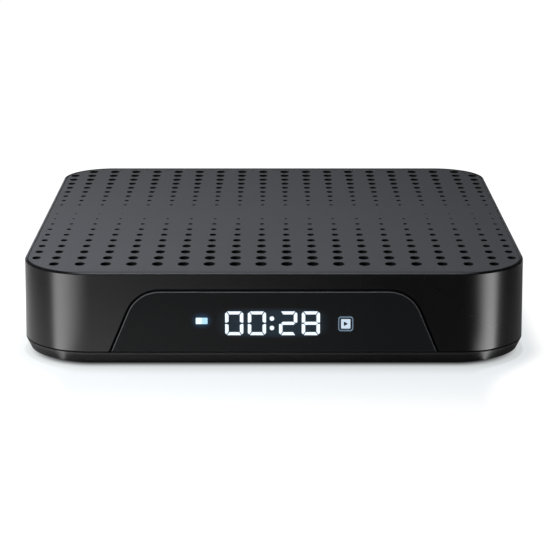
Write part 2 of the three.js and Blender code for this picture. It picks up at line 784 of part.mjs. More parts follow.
// Radio: a shielded module, a strip antenna on the right wall and the thin lead between them.
const radio = { y: -6, width: 13, length: 12, board: 0.8 };
const radioMargin = 6.5; // in from the board's right edge
const radioX = boardHalf - radioMargin - radio.width / 2;
const radioCan = { inset: 0.6, height: 1.6 };
const radioPlug = { radius: 1, height: 0.8, inset: 3.5 };
const plugPlace = {
  x: radioX + radio.width / 2 - radioPlug.inset,
  y: radio.y + radio.length / 2 - radioPlug.inset,
};
const antenna = { y: 0, length: 36, rise: 2.6, height: 6, thickness: 0.4 };
const leadRadius = 0.5;
const leadSteps = 12;
const leadSides = 6;

function makeRadio() {
  const boardLevel = boardTop + radio.board;
  const canTop = boardLevel + radioCan.height;
  const carrier = block(around(radioX, radio.width), around(radio.y, radio.length), [boardTop, boardLevel]);
  const can = block(
    around(radioX, radio.width - 2 * radioCan.inset),
    around(radio.y, radio.length - 2 * radioCan.inset),
    [boardLevel - radio.board / 2, canTop],
  );
  const plugTop = canTop + radioPlug.height;
  const plug = uprightRod(plugPlace, radioPlug.radius, [canTop - radioCan.inset, plugTop], smallSides);
  const wifi = joined(solidOf(carrier), solidOf(can), solidOf(plug));
  addPiece('wifi_module', geometryOf(wifi), socketShellLook);

  const wallFace = bodySide / 2 - cavityInset;
  const antennaFace = wallFace - antenna.thickness;
  const antennaMiddle = boardTop + antenna.rise + antenna.height / 2;
  const strip = block(
    [antennaFace, wallFace],
    around(antenna.y, antenna.length),
    around(antennaMiddle, antenna.height),
  );
  addPiece('antenna', strip, copperLook);

  const halfWay = new THREE.Vector2((plugPlace.x + antennaFace) / 2, (plugPlace.y + antenna.y) / 2);
  const route = new THREE.CatmullRomCurve3([
    new THREE.Vector3(plugPlace.x, plugPlace.y, plugTop + fitGap),
    new THREE.Vector3(plugPlace.x, plugPlace.y, plugTop + 2 * radioPlug.radius),
    new THREE.Vector3(halfWay.x, halfWay.y, antennaMiddle + radioPlug.height),
    new THREE.Vector3(antennaFace - 2 * radioPlug.radius, antenna.y, antennaMiddle),
    new THREE.Vector3(antennaFace - fitGap, antenna.y, antennaMiddle),
  ]);
  const section = new THREE.Shape(
    Array.from({ length: leadSides }, (_, side) => {
      const angle = (side / leadSides) * 4 * quarterTurn;
      return new THREE.Vector2(leadRadius * Math.cos(angle), leadRadius * Math.sin(angle));
    }),
  );
  const along = { steps: leadSteps, extrudePath: route, bevelEnabled: false };
  const lead = new THREE.ExtrudeGeometry(section, along);
  addPiece('antenna_lead', lead, leadLook);
}

// Power input: a smoothing capacitor with a crimped neck, and a choke.
const capacitor = { sideMargin: 9, screwGap: 2.5, radius: 3.1, height: 7, neck: 0.3, neckHeight: 1.6 };
const choke = { gap: 2, width: 6, height: 3 };

function makePowerParts() {
  const { sideMargin, screwGap, radius, height, neck, neckHeight } = capacitor;
  const can = turned([
    [0, 0],
    [radius, 0],
    [radius, neckHeight - neck],
    [radius - neck, neckHeight],
    [radius, neckHeight + neck],
    [radius, height - neck],
    [radius - neck, height],
    [0, height],
  ]);
  const screwBehind = boardScrewPlace({ right: 1, back: 1 });
  const place = {
    x: boardHalf - sideMargin,
    y: screwBehind.y - boardScrew.headRadius - screwGap - radius,
  };
  addPiece('input_capacitor', can.translate(place.x, place.y, boardTop), heatsinkLook);
  const chokeX = place.x - radius - choke.gap - choke.width / 2;
  chip('power_choke', { x: chokeX, y: place.y }, [choke.width, choke.width, choke.height], padLook);
}

// Video socket: a sheet sleeve over a moulding with a flat tongue.
const tongueGap = 0.1;

function makeHdmi() {
  const rear = socketFace;
  const front = rear - hdmi.depth;
  const sleeve = solidOf(standingSlab(hdmiOutline(0), [front, rear]));
  const mouth = solidOf(standingSlab(hdmiOutline(-hdmi.sheet), [front - overrun, rear + overrun]));
  addPiece('hdmi_shell', geometryOf(cut(sleeve, mouth)), socketShellLook);

  const bedDepth = hdmi.depth / 4;
  const bed = solidOf(standingSlab(hdmiOutline(-hdmi.sheet - tongueGap), [front, front + bedDepth]));
  const tongueWidth = hdmi.width - 4 * hdmi.sheet;
  const tongue = block(
    around(hdmiX, tongueWidth),
    [front + bedDepth / 2, rear - socketSetback],
    around(boardTop + hdmi.height / 2 + hdmi.sheet / 2, 2 * hdmi.sheet),
  );
  addPiece('hdmi_insert', geometryOf(bed.add(solidOf(tongue))), mouldingLook);
}

// Data sockets, both alike: a sheet sleeve with the tongue in the upper half of its mouth.
const usbTongue = { width: 11.1, thickness: 1.8, bed: 3, setback: 1 };

function makeUsb(y, number) {
  const left = -socketFace;
  const right = left + usb.depth;
  const sleeve = block([left, right], around(y, usb.width), [boardTop, boardTop + usb.height]);
  const mouth = block(
    [left - overrun, right + overrun],
    around(y, usb.width - 2 * usb.sheet),
    [boardTop + usb.sheet, boardTop + usb.height - usb.sheet],
  );
  addPiece(`usb_shell_${number}`, geometryOf(cut(solidOf(sleeve), solidOf(mouth))), socketShellLook);

  const inner = usb.sheet + tongueGap;
  const bed = block(
    [right - usbTongue.bed, right],
    around(y, usb.width - 2 * inner),
    [boardTop + inner, boardTop + usb.height - inner],
  );
  const tongueTop = boardTop + usb.height - 2 * inner;
  const tongue = block(
    [left + usbTongue.setback, right - usbTongue.bed / 2],
    around(y, usbTongue.width),
    [tongueTop - usbTongue.thickness, tongueTop],
  );
  addPiece(`usb_insert_${number}`, geometryOf(solidOf(bed).add(solidOf(tongue))), mouldingLook);
}

function makeMicroSd() {
  const left = -socketFace;
  const shell = block(
    [left, left + microSd.depth],
    around(cardY, microSd.width),
    [boardTop, boardTop + microSd.height],
  );
  const slot = block(
    [left - overrun, left + cardSlot.depth],
    around(cardY, cardSlot.width),
    around(boardTop + microSd.height / 2, cardSlot.height),
  );
  addPiece('microsd_slot', geometryOf(cut(solidOf(shell), solidOf(slot))), socketShellLook);
}

// Network socket: a stepped mouth with a latch slot below, and a comb of eight contacts in its roof.
const plugRoom = { width: 11.8, height: 7, depth: 12.5, lift: 2.9 };
const latchSteps = [{ width: 6.2, height: 1.4 }, { width: 3.4, height: 1.1 }];
const contact = { count: 8, pitch: 1.02, width: 0.5, height: 0.4, carrier: 0.3 };

function makeEthernet() {
  const rear = socketFace;
  const deepest = rear - plugRoom.depth;
  const body = block(
    around(ethernetX, ethernet.width),
    [rear - ethernet.depth, rear],
    [boardTop, boardTop + ethernet.height],
  );
  const roomFoot = boardTop + plugRoom.lift;
  const roomTop = roomFoot + plugRoom.height;
  const mouthDepth = [deepest, rear + overrun];
  const cuts = [solidOf(block(around(ethernetX, plugRoom.width), mouthDepth, [roomFoot, roomTop]))];
  let stepTop = roomFoot;
  for (const { width, height } of latchSteps) {
    cuts.push(solidOf(block(around(ethernetX, width), mouthDepth, [stepTop - height, stepTop + fitGap])));
    stepTop -= height;
  }
  addPiece('ethernet_jack', geometryOf(cut(solidOf(body), ...cuts)), socketShellLook);

  const combDepth = [deepest, rear - plugRoom.depth / 3];
  const combWidth = contact.count * contact.pitch;
  const carrierFoot = roomTop - contact.carrier;
  const carrier = block(around(ethernetX, combWidth), combDepth, [carrierFoot, roomTop]);
  const contacts = Array.from({ length: contact.count }, (_, number) => {
    const x = ethernetX + (number - (contact.count - 1) / 2) * contact.pitch;
    const reach = [carrierFoot - contact.height, carrierFoot + contact.carrier / 2];
    return block(around(x, contact.width), combDepth, reach);
  });
  const comb = joined(solidOf(carrier), solidOf(...contacts));
  addPiece('ethernet_contacts', geometryOf(comb), mouldingLook);
}

// Sound socket: its bore runs right through, so that a pin can reach the button behind it.
function makeAvJack() {
  const rear = socketFace;
  const front = rear - avJack.depth;
  const body = block(
    around(avX, avJack.width),
    [front, rear - avJack.nose],
    [boardTop, boardTop + avJack.height],
  );
  const barrel = levelRod(avCentre, avJack.barrel, [front + avJack.nose, rear]);
  const bore = levelRod(avCentre, avJack.bore, [front - overrun, rear + overrun]);
  const jack = cut(joined(solidOf(body), solidOf(barrel)), solidOf(bore));
  addPiece('av_jack', geometryOf(jack), mouldingLook);
}

// Power socket: a round mouth with a steel pin standing in it.
function makePowerJack() {
  const rear = socketFace;
  const front = rear - powerJack.depth;
  const bedFace = rear - powerJack.bed;
  const wallFace = bodySide / 2 - cavityInset - clearGap;
  const body = block(
    around(powerX, powerJack.width),
    [front, wallFace],
    [boardTop, boardTop + powerJack.height],
  );
  const collar = levelRod(powerCentre, powerJack.width / 2, [bedFace, rear]);
  const bore = levelRod(powerCentre, powerJack.bore, [bedFace, rear + overrun]);
  const jack = cut(joined(solidOf(body), solidOf(collar)), solidOf(bore));
  addPiece('dc_power_jack', geometryOf(jack), mouldingLook);

  const reach = powerJack.bed - socketSetback;
  const nose = powerJack.pin / 2;
  const pin = turned(
    [[0, 0], [powerJack.pin, 0], [powerJack.pin, reach - nose], [powerJack.pin - nose, reach], [0, reach]],
    smallSides,
  ).rotateX(-quarterTurn);
  addPiece('dc_centre_pin', pin.translate(powerCentre.x, bedFace, powerCentre.z), screwLook);
}

// Recovery switch: a plunger behind the sound socket's bore, pressed with a pin through it.
const recovery = { width: 6, depth: 3.4, height: 5.2, standOff: 2 };
const plungerTravel = 0.25;
const plungerRadius = 0.9;
const plungerSocket = 1.8;
const plungerReach = 1.4;

function makeRecoverySwitch() {
  const switchRear = socketFace - avJack.depth - recovery.standOff;
  const switchFront = switchRear - recovery.depth;
  const body = block(
    around(avX, recovery.width),
    [switchFront, switchRear],
    [boardTop, boardTop + recovery.height],
  );
  const socketDepth = [switchRear - plungerSocket, switchRear + overrun];
  const socket = levelRod(avCentre, plungerRadius + fitGap, socketDepth, smallSides);
  addPiece('recovery_switch', geometryOf(cut(solidOf(body), solidOf(socket))), mouldingLook);

  const root = switchRear - plungerSocket + plungerTravel + fitGap;
  const length = switchRear + plungerReach - root;
  const crown = plungerRadius / 3;
  const plunger = turned(
    [
      [0, 0],
      [plungerRadius, 0],
      [plungerRadius, length - crown],
      [plungerRadius - crown, length],
      [0, length],
    ],
    smallSides,
  ).rotateX(-quarterTurn);
  addPiece('recovery_button', plunger.translate(avCentre.x, root, avCentre.z), mouldingLook);
}

makeHousing();
makeTopPanel();
makeFrontWindow();
makeBaseCover();
cornerPlaces.forEach(makeFoot);
cornerPlaces.forEach(makeScrews);
makeMainBoard();
makeDisplayBoard();
makeDisplayModule();
makeInfraredReceiver();
makeChips();
makeCooling();
makeRadio();
makePowerParts();
makeHdmi();
usbPlaces.forEach((y, count) => makeUsb(y, count + 1));
makeMicroSd();
makeEthernet();
makeAvJack();
makePowerJack();
makeRecoverySwitch();

export default streamingBox;
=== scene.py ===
import math

import bmesh
import bpy
from mathutils import Matrix, Vector


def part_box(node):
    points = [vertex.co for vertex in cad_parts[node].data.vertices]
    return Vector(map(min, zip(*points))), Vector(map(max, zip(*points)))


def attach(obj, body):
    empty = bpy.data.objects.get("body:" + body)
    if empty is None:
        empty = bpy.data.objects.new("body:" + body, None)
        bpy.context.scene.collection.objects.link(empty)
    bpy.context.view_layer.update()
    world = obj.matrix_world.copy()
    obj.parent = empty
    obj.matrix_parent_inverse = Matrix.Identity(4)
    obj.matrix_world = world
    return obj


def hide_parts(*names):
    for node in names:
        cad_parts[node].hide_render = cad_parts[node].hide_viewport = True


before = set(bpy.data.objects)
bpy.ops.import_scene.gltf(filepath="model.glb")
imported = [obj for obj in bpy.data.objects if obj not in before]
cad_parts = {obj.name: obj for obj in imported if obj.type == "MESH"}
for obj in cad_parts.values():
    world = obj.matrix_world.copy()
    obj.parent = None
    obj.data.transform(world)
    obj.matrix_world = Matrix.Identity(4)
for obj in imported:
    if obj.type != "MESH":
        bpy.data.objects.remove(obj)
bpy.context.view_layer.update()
print("frame loaded:", len(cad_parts), "nodes")

# Forms are drawn in millimetres and brought to metres when a piece is settled.
millimetre = 0.001
perMetre = 1000
toMetres = Matrix.Scale(millimetre, 4)
quarterTurn = math.pi / 2
weldWithin = 1e-4  # corners that lie closer than this, in millimetres, become one
onAxis = 0.01  # the radius that stands for a point on a lathe's axis
sidesOf = {"bore": 24, "small": 32, "plain": 40, "barrel": 48, "collar": 56, "foot": 64}  # of round forms

body = {
    "side": 105.0,
    "top": 20.0,
    "foot": 3.4,
    "frontRadius": 15.0,
    "rearRadius": 12.0,
    "lean": 0.25,  # each wall leans in by this much from foot to rim
    "cornerSteps": 22,
    "roundShare": 0.3,  # where a small rounded edge has its middle ring, as a share of its size
}
cornerNames = ("front_left", "front_right", "rear_left", "rear_right")


# Helpers that make and link nodes.

def feed(tree, socket, value):
    if isinstance(value, bpy.types.NodeSocket):
        tree.links.new(value, socket)
    elif value is not None:
        socket.default_value = value


def mathNode(tree, operation, first, second=None, third=None):
    node = tree.nodes.new("ShaderNodeMath")
    node.operation = operation
    for socket, value in zip(node.inputs, (first, second, third)):
        feed(tree, socket, value)
    return node.outputs[0]


def makeNode(tree, kind, inputs=(), **settings):
    node = tree.nodes.new(kind)
    for name, value in settings.items():
        setattr(node, name, value)
    for name, value in dict(inputs).items():
        feed(tree, node.inputs[name], value)
    return node


def separated(tree, vector):
    return makeNode(tree, "ShaderNodeSeparateXYZ", {0: vector}).outputs


def vectorMath(tree, operation, first, second=None):
    inputs = {0: first} if second is None else {0: first, 1: second}
    return makeNode(tree, "ShaderNodeVectorMath", inputs, operation=operation).outputs[0]


def objectPlace(tree):
    return makeNode(tree, "ShaderNodeTexCoord").outputs["Object"]


def applied(piece, modifier):
    # The piece's mesh as the modifier leaves it, with the modifier taken off again.
    bpy.context.view_layer.update()
    graph = bpy.context.evaluated_depsgraph_get()
    result = bpy.data.meshes.new_from_object(piece.evaluated_get(graph))
    piece.modifiers.remove(modifier)
    piece.data = result
    return piece


def runTree(piece, tree, values):
    modifier = piece.modifiers.new("form", "NODES")
    modifier.node_group = tree
    for item in tree.interface.items_tree:
        if item.item_type == "SOCKET" and item.in_out == "INPUT" and item.name in values:
            modifier[item.identifier] = values[item.name]
    return applied(piece, modifier)


def newTree(name, sockets):
    tree = bpy.data.node_groups.new(name, "GeometryNodeTree")
    tree.interface.new_socket("Geometry", in_out="INPUT", socket_type="NodeSocketGeometry")
    for label, kind, value in sockets:
        socket = tree.interface.new_socket(label, in_out="INPUT", socket_type="NodeSocket" + kind)
        if value is not None:
            socket.default_value = value
    tree.interface.new_socket("Geometry", in_out="OUTPUT", socket_type="NodeSocketGeometry")
    start = tree.nodes.new("NodeGroupInput")
    end = tree.nodes.new("NodeGroupOutput")
    return tree, start.outputs, end.inputs[0]


def copiesAt(tree, points, piece, finish):
    # Real copies of one object at the points, all in one material.
    source = makeNode(tree, "GeometryNodeObjectInfo", {"Object": piece})
    copies = makeNode(tree, "GeometryNodeInstanceOnPoints",
                      {"Points": points, "Instance": source.outputs["Geometry"]})
    real = makeNode(tree, "GeometryNodeRealizeInstances", {0: copies.outputs[0]})
    dressed = makeNode(tree, "GeometryNodeSetMaterial", {"Geometry": real.outputs[0], "Material": finish})
    return dressed.outputs[0]


# Helpers that make and change meshes.

def meshObject(name, vertices, faces):
    mesh = bpy.data.meshes.new(name)
    mesh.from_pydata(vertices, [], faces)
    mesh.update()
    piece = bpy.data.objects.new(name, mesh)
    bpy.context.scene.collection.objects.link(piece)
    return piece


def facesOut(piece):
    form = bmesh.new()
    form.from_mesh(piece.data)
    bmesh.ops.remove_doubles(form, verts=form.verts, dist=weldWithin)
    bmesh.ops.recalc_face_normals(form, faces=form.faces)
    form.to_mesh(piece.data)
    form.free()
    return piece


def merged(name, *pieces):
    form = bmesh.new()
    for piece in pieces:
        form.from_mesh(piece.data)
        bpy.data.objects.remove(piece)
    mesh = bpy.data.meshes.new(name)
    form.to_mesh(mesh)
    form.free()
    piece = bpy.data.objects.new(name, mesh)
    bpy.context.scene.collection.objects.link(piece)
    return piece


def combine(piece, other, operation):
    modifier = piece.modifiers.new("combine", "BOOLEAN")
    modifier.operation = operation
    modifier.solver = "EXACT"
    modifier.object = other
    applied(piece, modifier)
    bpy.data.objects.remove(other)
    return piece


def bridge(rings, closed=False, capped=True):
    # Faces between one ring of points and the next; closed joins the last ring to the first.
    count = len(rings[0])
    vertices = [point for ring in rings for point in ring]
    faces = []
    for level in range(len(rings) if closed else len(rings) - 1):
        upper = (level + 1) % len(rings)
        for here in range(count):
            after = (here + 1) % count
            faces.append((level * count + here, level * count + after,
                          upper * count + after, upper * count + here))
    if capped and not closed:
        faces.append(tuple(reversed(range(count))))
        faces.append(tuple((len(rings) - 1) * count + here for here in range(count)))
    return vertices, faces


def bodyOutline(inset):
    steps = body["cornerSteps"]
    half = body["side"] / 2
    corners = ((1, -1, body["frontRadius"]), (1, 1, body["rearRadius"]),
               (-1, 1, body["rearRadius"]), (-1, -1, body["frontRadius"]))
    points = []
    for quarter, (right, back, radius) in enumerate(corners):
        for step in range(steps + 1):
            angle = (quarter - 1 + step / steps) * quarterTurn
            points.append((right * (half - radius) + (radius - inset) * math.cos(angle),
                           back * (half - radius) + (radius - inset) * math.sin(angle)))
    return points


def bodyLoft(name, levels, closed=False, capped=True):
    rings = [[(x, y, height) for x, y in bodyOutline(inset)] for height, inset in levels]
    return meshObject(name, *bridge(rings, closed, capped))


def roundedEdge(size):
    # Inward and downward steps of a small rounded edge, from its foot to its head.
    share = size * body["roundShare"]
    return (0, size), (share, share), (size, 0)


def leanAt(height):
    return body["lean"] * (height - body["foot"]) / (body["top"] - body["foot"])


def box(name, low, high, bevel=0.0):
    piece = meshObject(name, *bridge([
        [(low[0], low[1], z), (high[0], low[1], z), (high[0], high[1], z), (low[0], high[1], z)]
        for z in (low[2], high[2])
    ]))
    if bevel:
        form = bmesh.new()
        form.from_mesh(piece.data)
        bmesh.ops.bevel(form, geom=form.edges[:], offset=bevel, segments=2, profile=0.5, affect="EDGES")
        form.to_mesh(piece.data)
        form.free()
    return piece


def circle(radius, height, sides):
    turns = [2 * math.pi * side / sides for side in range(sides)]
    return [(radius * math.cos(turn), radius * math.sin(turn), height) for turn in turns]


def lathe(name, profile, sides=sidesOf["plain"]):
    # Radius and height pairs, turned about the Z axis, with a flat face at each end.
    return meshObject(name, *bridge([circle(radius, height, sides) for radius, height in profile]))


def moved(piece, matrix):
    piece.data.transform(matrix)
    if matrix.determinant() < 0:
        piece.data.flip_normals()
    return piece


def shifted(piece, x, y, z):
    return moved(piece, Matrix.Translation((x, y, z)))


toRear = Matrix.Rotation(-quarterTurn, 4, "X")  # the Z axis turned to run along +Y
toLeft = Matrix.Rotation(quarterTurn, 4, "Z")


def slabAlongY(name, stations):
    # Each station is an outline of X and Z pairs and its place along Y.
    rings = [[(x, y, z) for x, z in outline] for outline, y in stations]
    return facesOut(meshObject(name, *bridge(rings)))


def roundedRectangle(width, height, radius, steps=5):
    points = []
    for quarter, (right, up) in enumerate(((1, 1), (-1, 1), (-1, -1), (1, -1))):
        for step in range(steps + 1):
            angle = (quarter + step / steps) * quarterTurn
            points.append((right * (width / 2 - radius) + radius * math.cos(angle),
                           up * (height / 2 - radius) + radius * math.sin(angle)))
    return points


def settle(piece, material, slot, *nodes, smoothUnder=32):
    # The last step of each piece drawn here: metres, material, smooth faces, body and CAD nodes; slot is not
    # used.
    mesh = piece.data
    mesh.transform(toMetres)
    mesh.materials.clear()
    mesh.materials.append(material)
    mesh.shade_smooth()
    mesh.set_sharp_from_angle(angle=math.radians(smoothUnder))
    weighted = piece.modifiers.new("faces lead", "WEIGHTED_NORMAL")
    weighted.keep_sharp = True
    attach(piece, "case")
    if nodes:
        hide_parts(*nodes)
    return piece


# Shared finishes, as shader node groups, and the materials made with them.

def shaderGroup(name, inputs, outputs):
    tree = bpy.data.node_groups.new(name, "ShaderNodeTree")
    for label, value in inputs:
        kind = "NodeSocketColor" if isinstance(value, tuple) else "NodeSocketFloat"
        socket = tree.interface.new_socket(label, in_out="INPUT", socket_type=kind)
        socket.default_value = value
    for label, kind in outputs:
        tree.interface.new_socket(label, in_out="OUTPUT", socket_type="NodeSocket" + kind)
    return tree, tree.nodes.new("NodeGroupInput").outputs, tree.nodes.new("NodeGroupOutput").inputs


def colourMix(tree, factor, first, second, blend="MIX"):
    node = tree.nodes.new("ShaderNodeMix")
    node.data_type = "RGBA"
    node.blend_type = blend
    feed(tree, node.inputs[0], factor)
    feed(tree, node.inputs[6], first)
    feed(tree, node.inputs[7], second)
    return node.outputs[2]


def noise(tree, scale, detail=2.0, roughness=0.5, vector=None):
    node = makeNode(tree, "ShaderNodeTexNoise", {"Scale": scale, "Detail": detail, "Roughness": roughness})
    tree.links.new(vector or objectPlace(tree), node.inputs["Vector"])
    return node.outputs[0]


def smoothRange(tree, value, begin, end, low=0.0, high=1.0):
    node = makeNode(tree, "ShaderNodeMapRange", {"Value": value, "From Min": begin, "From Max": end,
                                                 "To Min": low, "To Max": high},
                    interpolation_type="SMOOTHSTEP")
    return node.outputs[0]


mouldedLook = {
    "cloudScale": 28.0,
    "cloudRoughness": 0.16,  # how far the clouds move the roughness
    "speckScale": 900.0,
    "speckFrom": 0.66,
    "speckTo": 0.78,
    "dustColour": (0.35, 0.35, 0.35, 1.0),
    "dustRoughness": 0.5,
    "grainDetail": (3.0, 0.6),  # the noise's detail and roughness
    "grainDistance": 0.00004,
}


def makeMouldedFinish():
    # Spark-eroded grain, slow shade and a little dust, as every moulded face has.
    tree, given, made = shaderGroup(
        "mouldedFinish",
        [("Colour", (0.1, 0.1, 0.1, 1.0)), ("Roughness", 0.5), ("Grain Scale", 3500.0), ("Grain Depth", 0.1),
         ("Shade", 0.08), ("Dust", 0.02)],
        [("Colour", "Color"), ("Roughness", "Float"), ("Normal", "Vector")],
    )
    grain = noise(tree, given["Grain Scale"], *mouldedLook["grainDetail"])
    slow = noise(tree, mouldedLook["cloudScale"])
    speck = noise(tree, mouldedLook["speckScale"], 1.0)
    shade = mathNode(tree, "MULTIPLY_ADD", mathNode(tree, "SUBTRACT", slow, 0.5), given["Shade"], 1.0)
    fine = mathNode(tree, "MULTIPLY_ADD", mathNode(tree, "SUBTRACT", grain, 0.5), given["Shade"], shade)
    toned = makeNode(tree, "ShaderNodeVectorMath", {0: given["Colour"]}, operation="SCALE")
    feed(tree, toned.inputs["Scale"], fine)
    dust = makeNode(tree, "ShaderNodeMapRange", {"Value": speck, "From Min": mouldedLook["speckFrom"],
                                                 "From Max": mouldedLook["speckTo"]})
    dustMask = mathNode(tree, "MULTIPLY", dust.outputs[0], given["Dust"])
    feed(tree, made["Colour"], colourMix(tree, dustMask, toned.outputs[0], mouldedLook["dustColour"]))
    rough = mathNode(tree, "MULTIPLY_ADD", mathNode(tree, "SUBTRACT", slow, 0.5),
                     mouldedLook["cloudRoughness"], given["Roughness"])
    dusty = mathNode(tree, "MULTIPLY_ADD", dustMask, mouldedLook["dustRoughness"], rough)
    feed(tree, made["Roughness"], dusty)
    bump = makeNode(tree, "ShaderNodeBump", {"Distance": mouldedLook["grainDistance"]})
    feed(tree, bump.inputs["Strength"], given["Grain Depth"])
    feed(tree, bump.inputs["Height"], grain)
    feed(tree, made["Normal"], bump.outputs[0])
    return tree


metalLook = {
    "stretch": (1.0, 12.0, 12.0),  # streaks run along X
    "streakScale": 260.0,
    "streakDetail": (3.0, 0.6),
    "streakDistance": 0.00002,
    "tarnishScale": 130.0,
    "tarnishDetail": (3.0, 0.55),
    "tarnishFrom": 0.4,
    "tarnishTo": 0.75,
    "tarnishShade": 0.55,
    "tarnishRoughness": 0.3,
}


def makeMetalFinish():
    # Rolled and plated sheet: fine streaks along X with cloudy tarnish.
    tree, given, made = shaderGroup(
        "metalFinish",
        [("Colour", (0.6, 0.6, 0.6, 1.0)), ("Roughness", 0.3), ("Streaks", 0.2), ("Tarnish", 0.25)],
        [("Colour", "Color"), ("Roughness", "Float"), ("Normal", "Vector")],
    )
    place = objectPlace(tree)
    stretch = makeNode(tree, "ShaderNodeMapping", {"Vector": place, "Scale": metalLook["stretch"]})
    streaks = noise(tree, metalLook["streakScale"], *metalLook["streakDetail"], stretch.outputs[0])
    clouds = noise(tree, metalLook["tarnishScale"], *metalLook["tarnishDetail"], place)
    tarnish = makeNode(tree, "ShaderNodeMapRange", {"Value": clouds, "From Min": metalLook["tarnishFrom"],
                                                    "From Max": metalLook["tarnishTo"]})
    amount = mathNode(tree, "MULTIPLY", tarnish.outputs[0], given["Tarnish"])
    darker = makeNode(tree, "ShaderNodeVectorMath", {0: given["Colour"]}, operation="SCALE")
    darker.inputs["Scale"].default_value = metalLook["tarnishShade"]
    feed(tree, made["Colour"], colourMix(tree, amount, given["Colour"], darker.outputs[0]))
    spread = mathNode(tree, "MULTIPLY", mathNode(tree, "SUBTRACT", streaks, 0.5), given["Streaks"])
    rough = mathNode(tree, "ADD", given["Roughness"], spread)
    tarnished = mathNode(tree, "MULTIPLY_ADD", amount, metalLook["tarnishRoughness"], rough)
    feed(tree, made["Roughness"], tarnished)
    bump = makeNode(tree, "ShaderNodeBump", {"Distance": metalLook["streakDistance"], "Height": streaks})
    feed(tree, bump.inputs["Strength"], given["Streaks"])
    feed(tree, made["Normal"], bump.outputs[0])
    return tree


mouldedFinish = makeMouldedFinish()
metalFinish = makeMetalFinish()


def newMaterial(name, colour):
    material = bpy.data.materials.new(name)
    material.use_nodes = True
    material.diffuse_color = (*colour, 1.0)
    return material, material.node_tree, material.node_tree.nodes["Principled BSDF"]


def finished(name, group, colour, values, shader=(), metallic=0.0):
    material, tree, principled = newMaterial(name, colour)
    finish = makeNode(tree, "ShaderNodeGroup", node_tree=group)
    finish.inputs["Colour"].default_value = (*colour, 1.0)
    for label, value in values.items():
        finish.inputs[label].default_value = value
    feed(tree, principled.inputs["Base Color"], finish.outputs["Colour"])
    feed(tree, principled.inputs["Roughness"], finish.outputs["Roughness"])
    feed(tree, principled.inputs["Normal"], finish.outputs["Normal"])
    principled.inputs["Metallic"].default_value = metallic
    for label, value in dict(shader).items():
        principled.inputs[label].default_value = value
    return material


def moulded(name, colour, roughness, grainScale, grainDepth, shade, dust, **shader):
    labels = {label.replace("_", " "): value for label, value in shader.items()}
    return finished(name, mouldedFinish, colour,
                    {"Roughness": roughness, "Grain Scale": grainScale, "Grain Depth": grainDepth,
                     "Shade": shade, "Dust": dust}, labels)


def plated(name, colour, roughness, streaks, tarnish):
    return finished(name, metalFinish, colour,
                    {"Roughness": roughness, "Streaks": streaks, "Tarnish": tarnish}, metallic=1.0)


def fedColour(material, label="Base Color"):
    # The material's tree, one of its shader's colour inputs, and what feeds that input.
    tree = material.node_tree
    target = tree.nodes["Principled BSDF"].inputs[label]
    return tree, target, target.links[0].from_socket


shellLook = {
    "colour": (0.0046, 0.0046, 0.0053),
    "rimHighlightColour": (0.1, 0.104, 0.115),  # painted highlight: a paler grey along the rim's top edge
    "rimHighlightFoot": 0.25,  # how far below the top the painted highlight fades out
    "rimHighlightHead": 0.15,
    "cornerFrom": 37.0,  # on the corners the rim has no painted highlight and stays black
    "cornerTo": 43.0,
    "grain": {"grainScale": 5000.0, "grainDepth": 0.03, "shade": 0.1, "dust": 0.0},
    "gloss": 0.26,
    "coatRoughness": 0.6,
    "coatSpecular": 0.06,
    "recessRoughness": 0.9,
    "recessSpecular": 0.08,
}


def makeRimHighlight():
    # Painted highlight: the rim's top is painted a paler grey along the straight sides and left black on the
    # corners.
    material = moulded("rimHighlight", shellLook["colour"], shellLook["coatRoughness"], **shellLook["grain"],
                       Specular_IOR_Level=shellLook["coatSpecular"])
    tree, target, bare = fedColour(material)
    place = objectPlace(tree)
    height = separated(tree, place)[2]
    size = separated(tree, vectorMath(tree, "ABSOLUTE", place))
    begin, full = shellLook["cornerFrom"] * millimetre, shellLook["cornerTo"] * millimetre
    corner = mathNode(tree, "MULTIPLY", smoothRange(tree, size[0], begin, full),
                      smoothRange(tree, size[1], begin, full))
    upper = smoothRange(tree, height, (body["top"] - shellLook["rimHighlightFoot"]) * millimetre,
                        (body["top"] - shellLook["rimHighlightHead"]) * millimetre)
    greyShare = mathNode(tree, "MULTIPLY", upper, mathNode(tree, "SUBTRACT", 1.0, corner))
    feed(tree, target, colourMix(tree, greyShare, bare, (*shellLook["rimHighlightColour"], 1.0)))
    return material


satinShell = moulded("satinShell", shellLook["colour"], shellLook["gloss"], **shellLook["grain"])
rimHighlight = makeRimHighlight()
recessRough = moulded("recessRough", shellLook["colour"], shellLook["recessRoughness"], **shellLook["grain"],
                      Specular_IOR_Level=shellLook["recessSpecular"])

# Grain scale, grain depth, shade and dust come after the colour and the roughness.
blackRubber = moulded("blackRubber", (0.035, 0.035, 0.036), 0.85, 2600.0, 0.6, 0.25, 0.12)
socketBlack = moulded("socketBlack", (0.022, 0.022, 0.022), 0.45, 3000.0, 0.2, 0.12, 0.02)
chipEpoxy = moulded("chipEpoxy", (0.03, 0.03, 0.032), 0.6, 5200.0, 0.6, 0.2, 0.05)
siliconePad = moulded("siliconePad", (0.3, 0.35, 0.45), 0.8, 1800.0, 0.4, 0.2, 0.05)
leadJacket = moulded("leadJacket", (0.03, 0.03, 0.03), 0.6, 2600.0, 0.2, 0.1, 0.03)
buttonRed = moulded("buttonRed", (0.35, 0.03, 0.02), 0.4, 3000.0, 0.15, 0.1, 0.02)

# Streaks and tarnish come after the colour and the roughness.
blackZinc = plated("blackZinc", (0.08, 0.08, 0.085), 0.38, 0.15, 0.3)
tinSheet = plated("tinSheet", (0.62, 0.62, 0.63), 0.3, 0.25, 0.3)
drawnAluminium = plated("drawnAluminium", (0.62, 0.62, 0.64), 0.42, 0.35, 0.2)
contactGold = plated("contactGold", (0.83, 0.6, 0.25), 0.25, 0.1, 0.15)
copperTrack = plated("copperTrack", (0.7, 0.38, 0.2), 0.35, 0.15, 0.4)
print("finishes ready")


# The perforated lid.

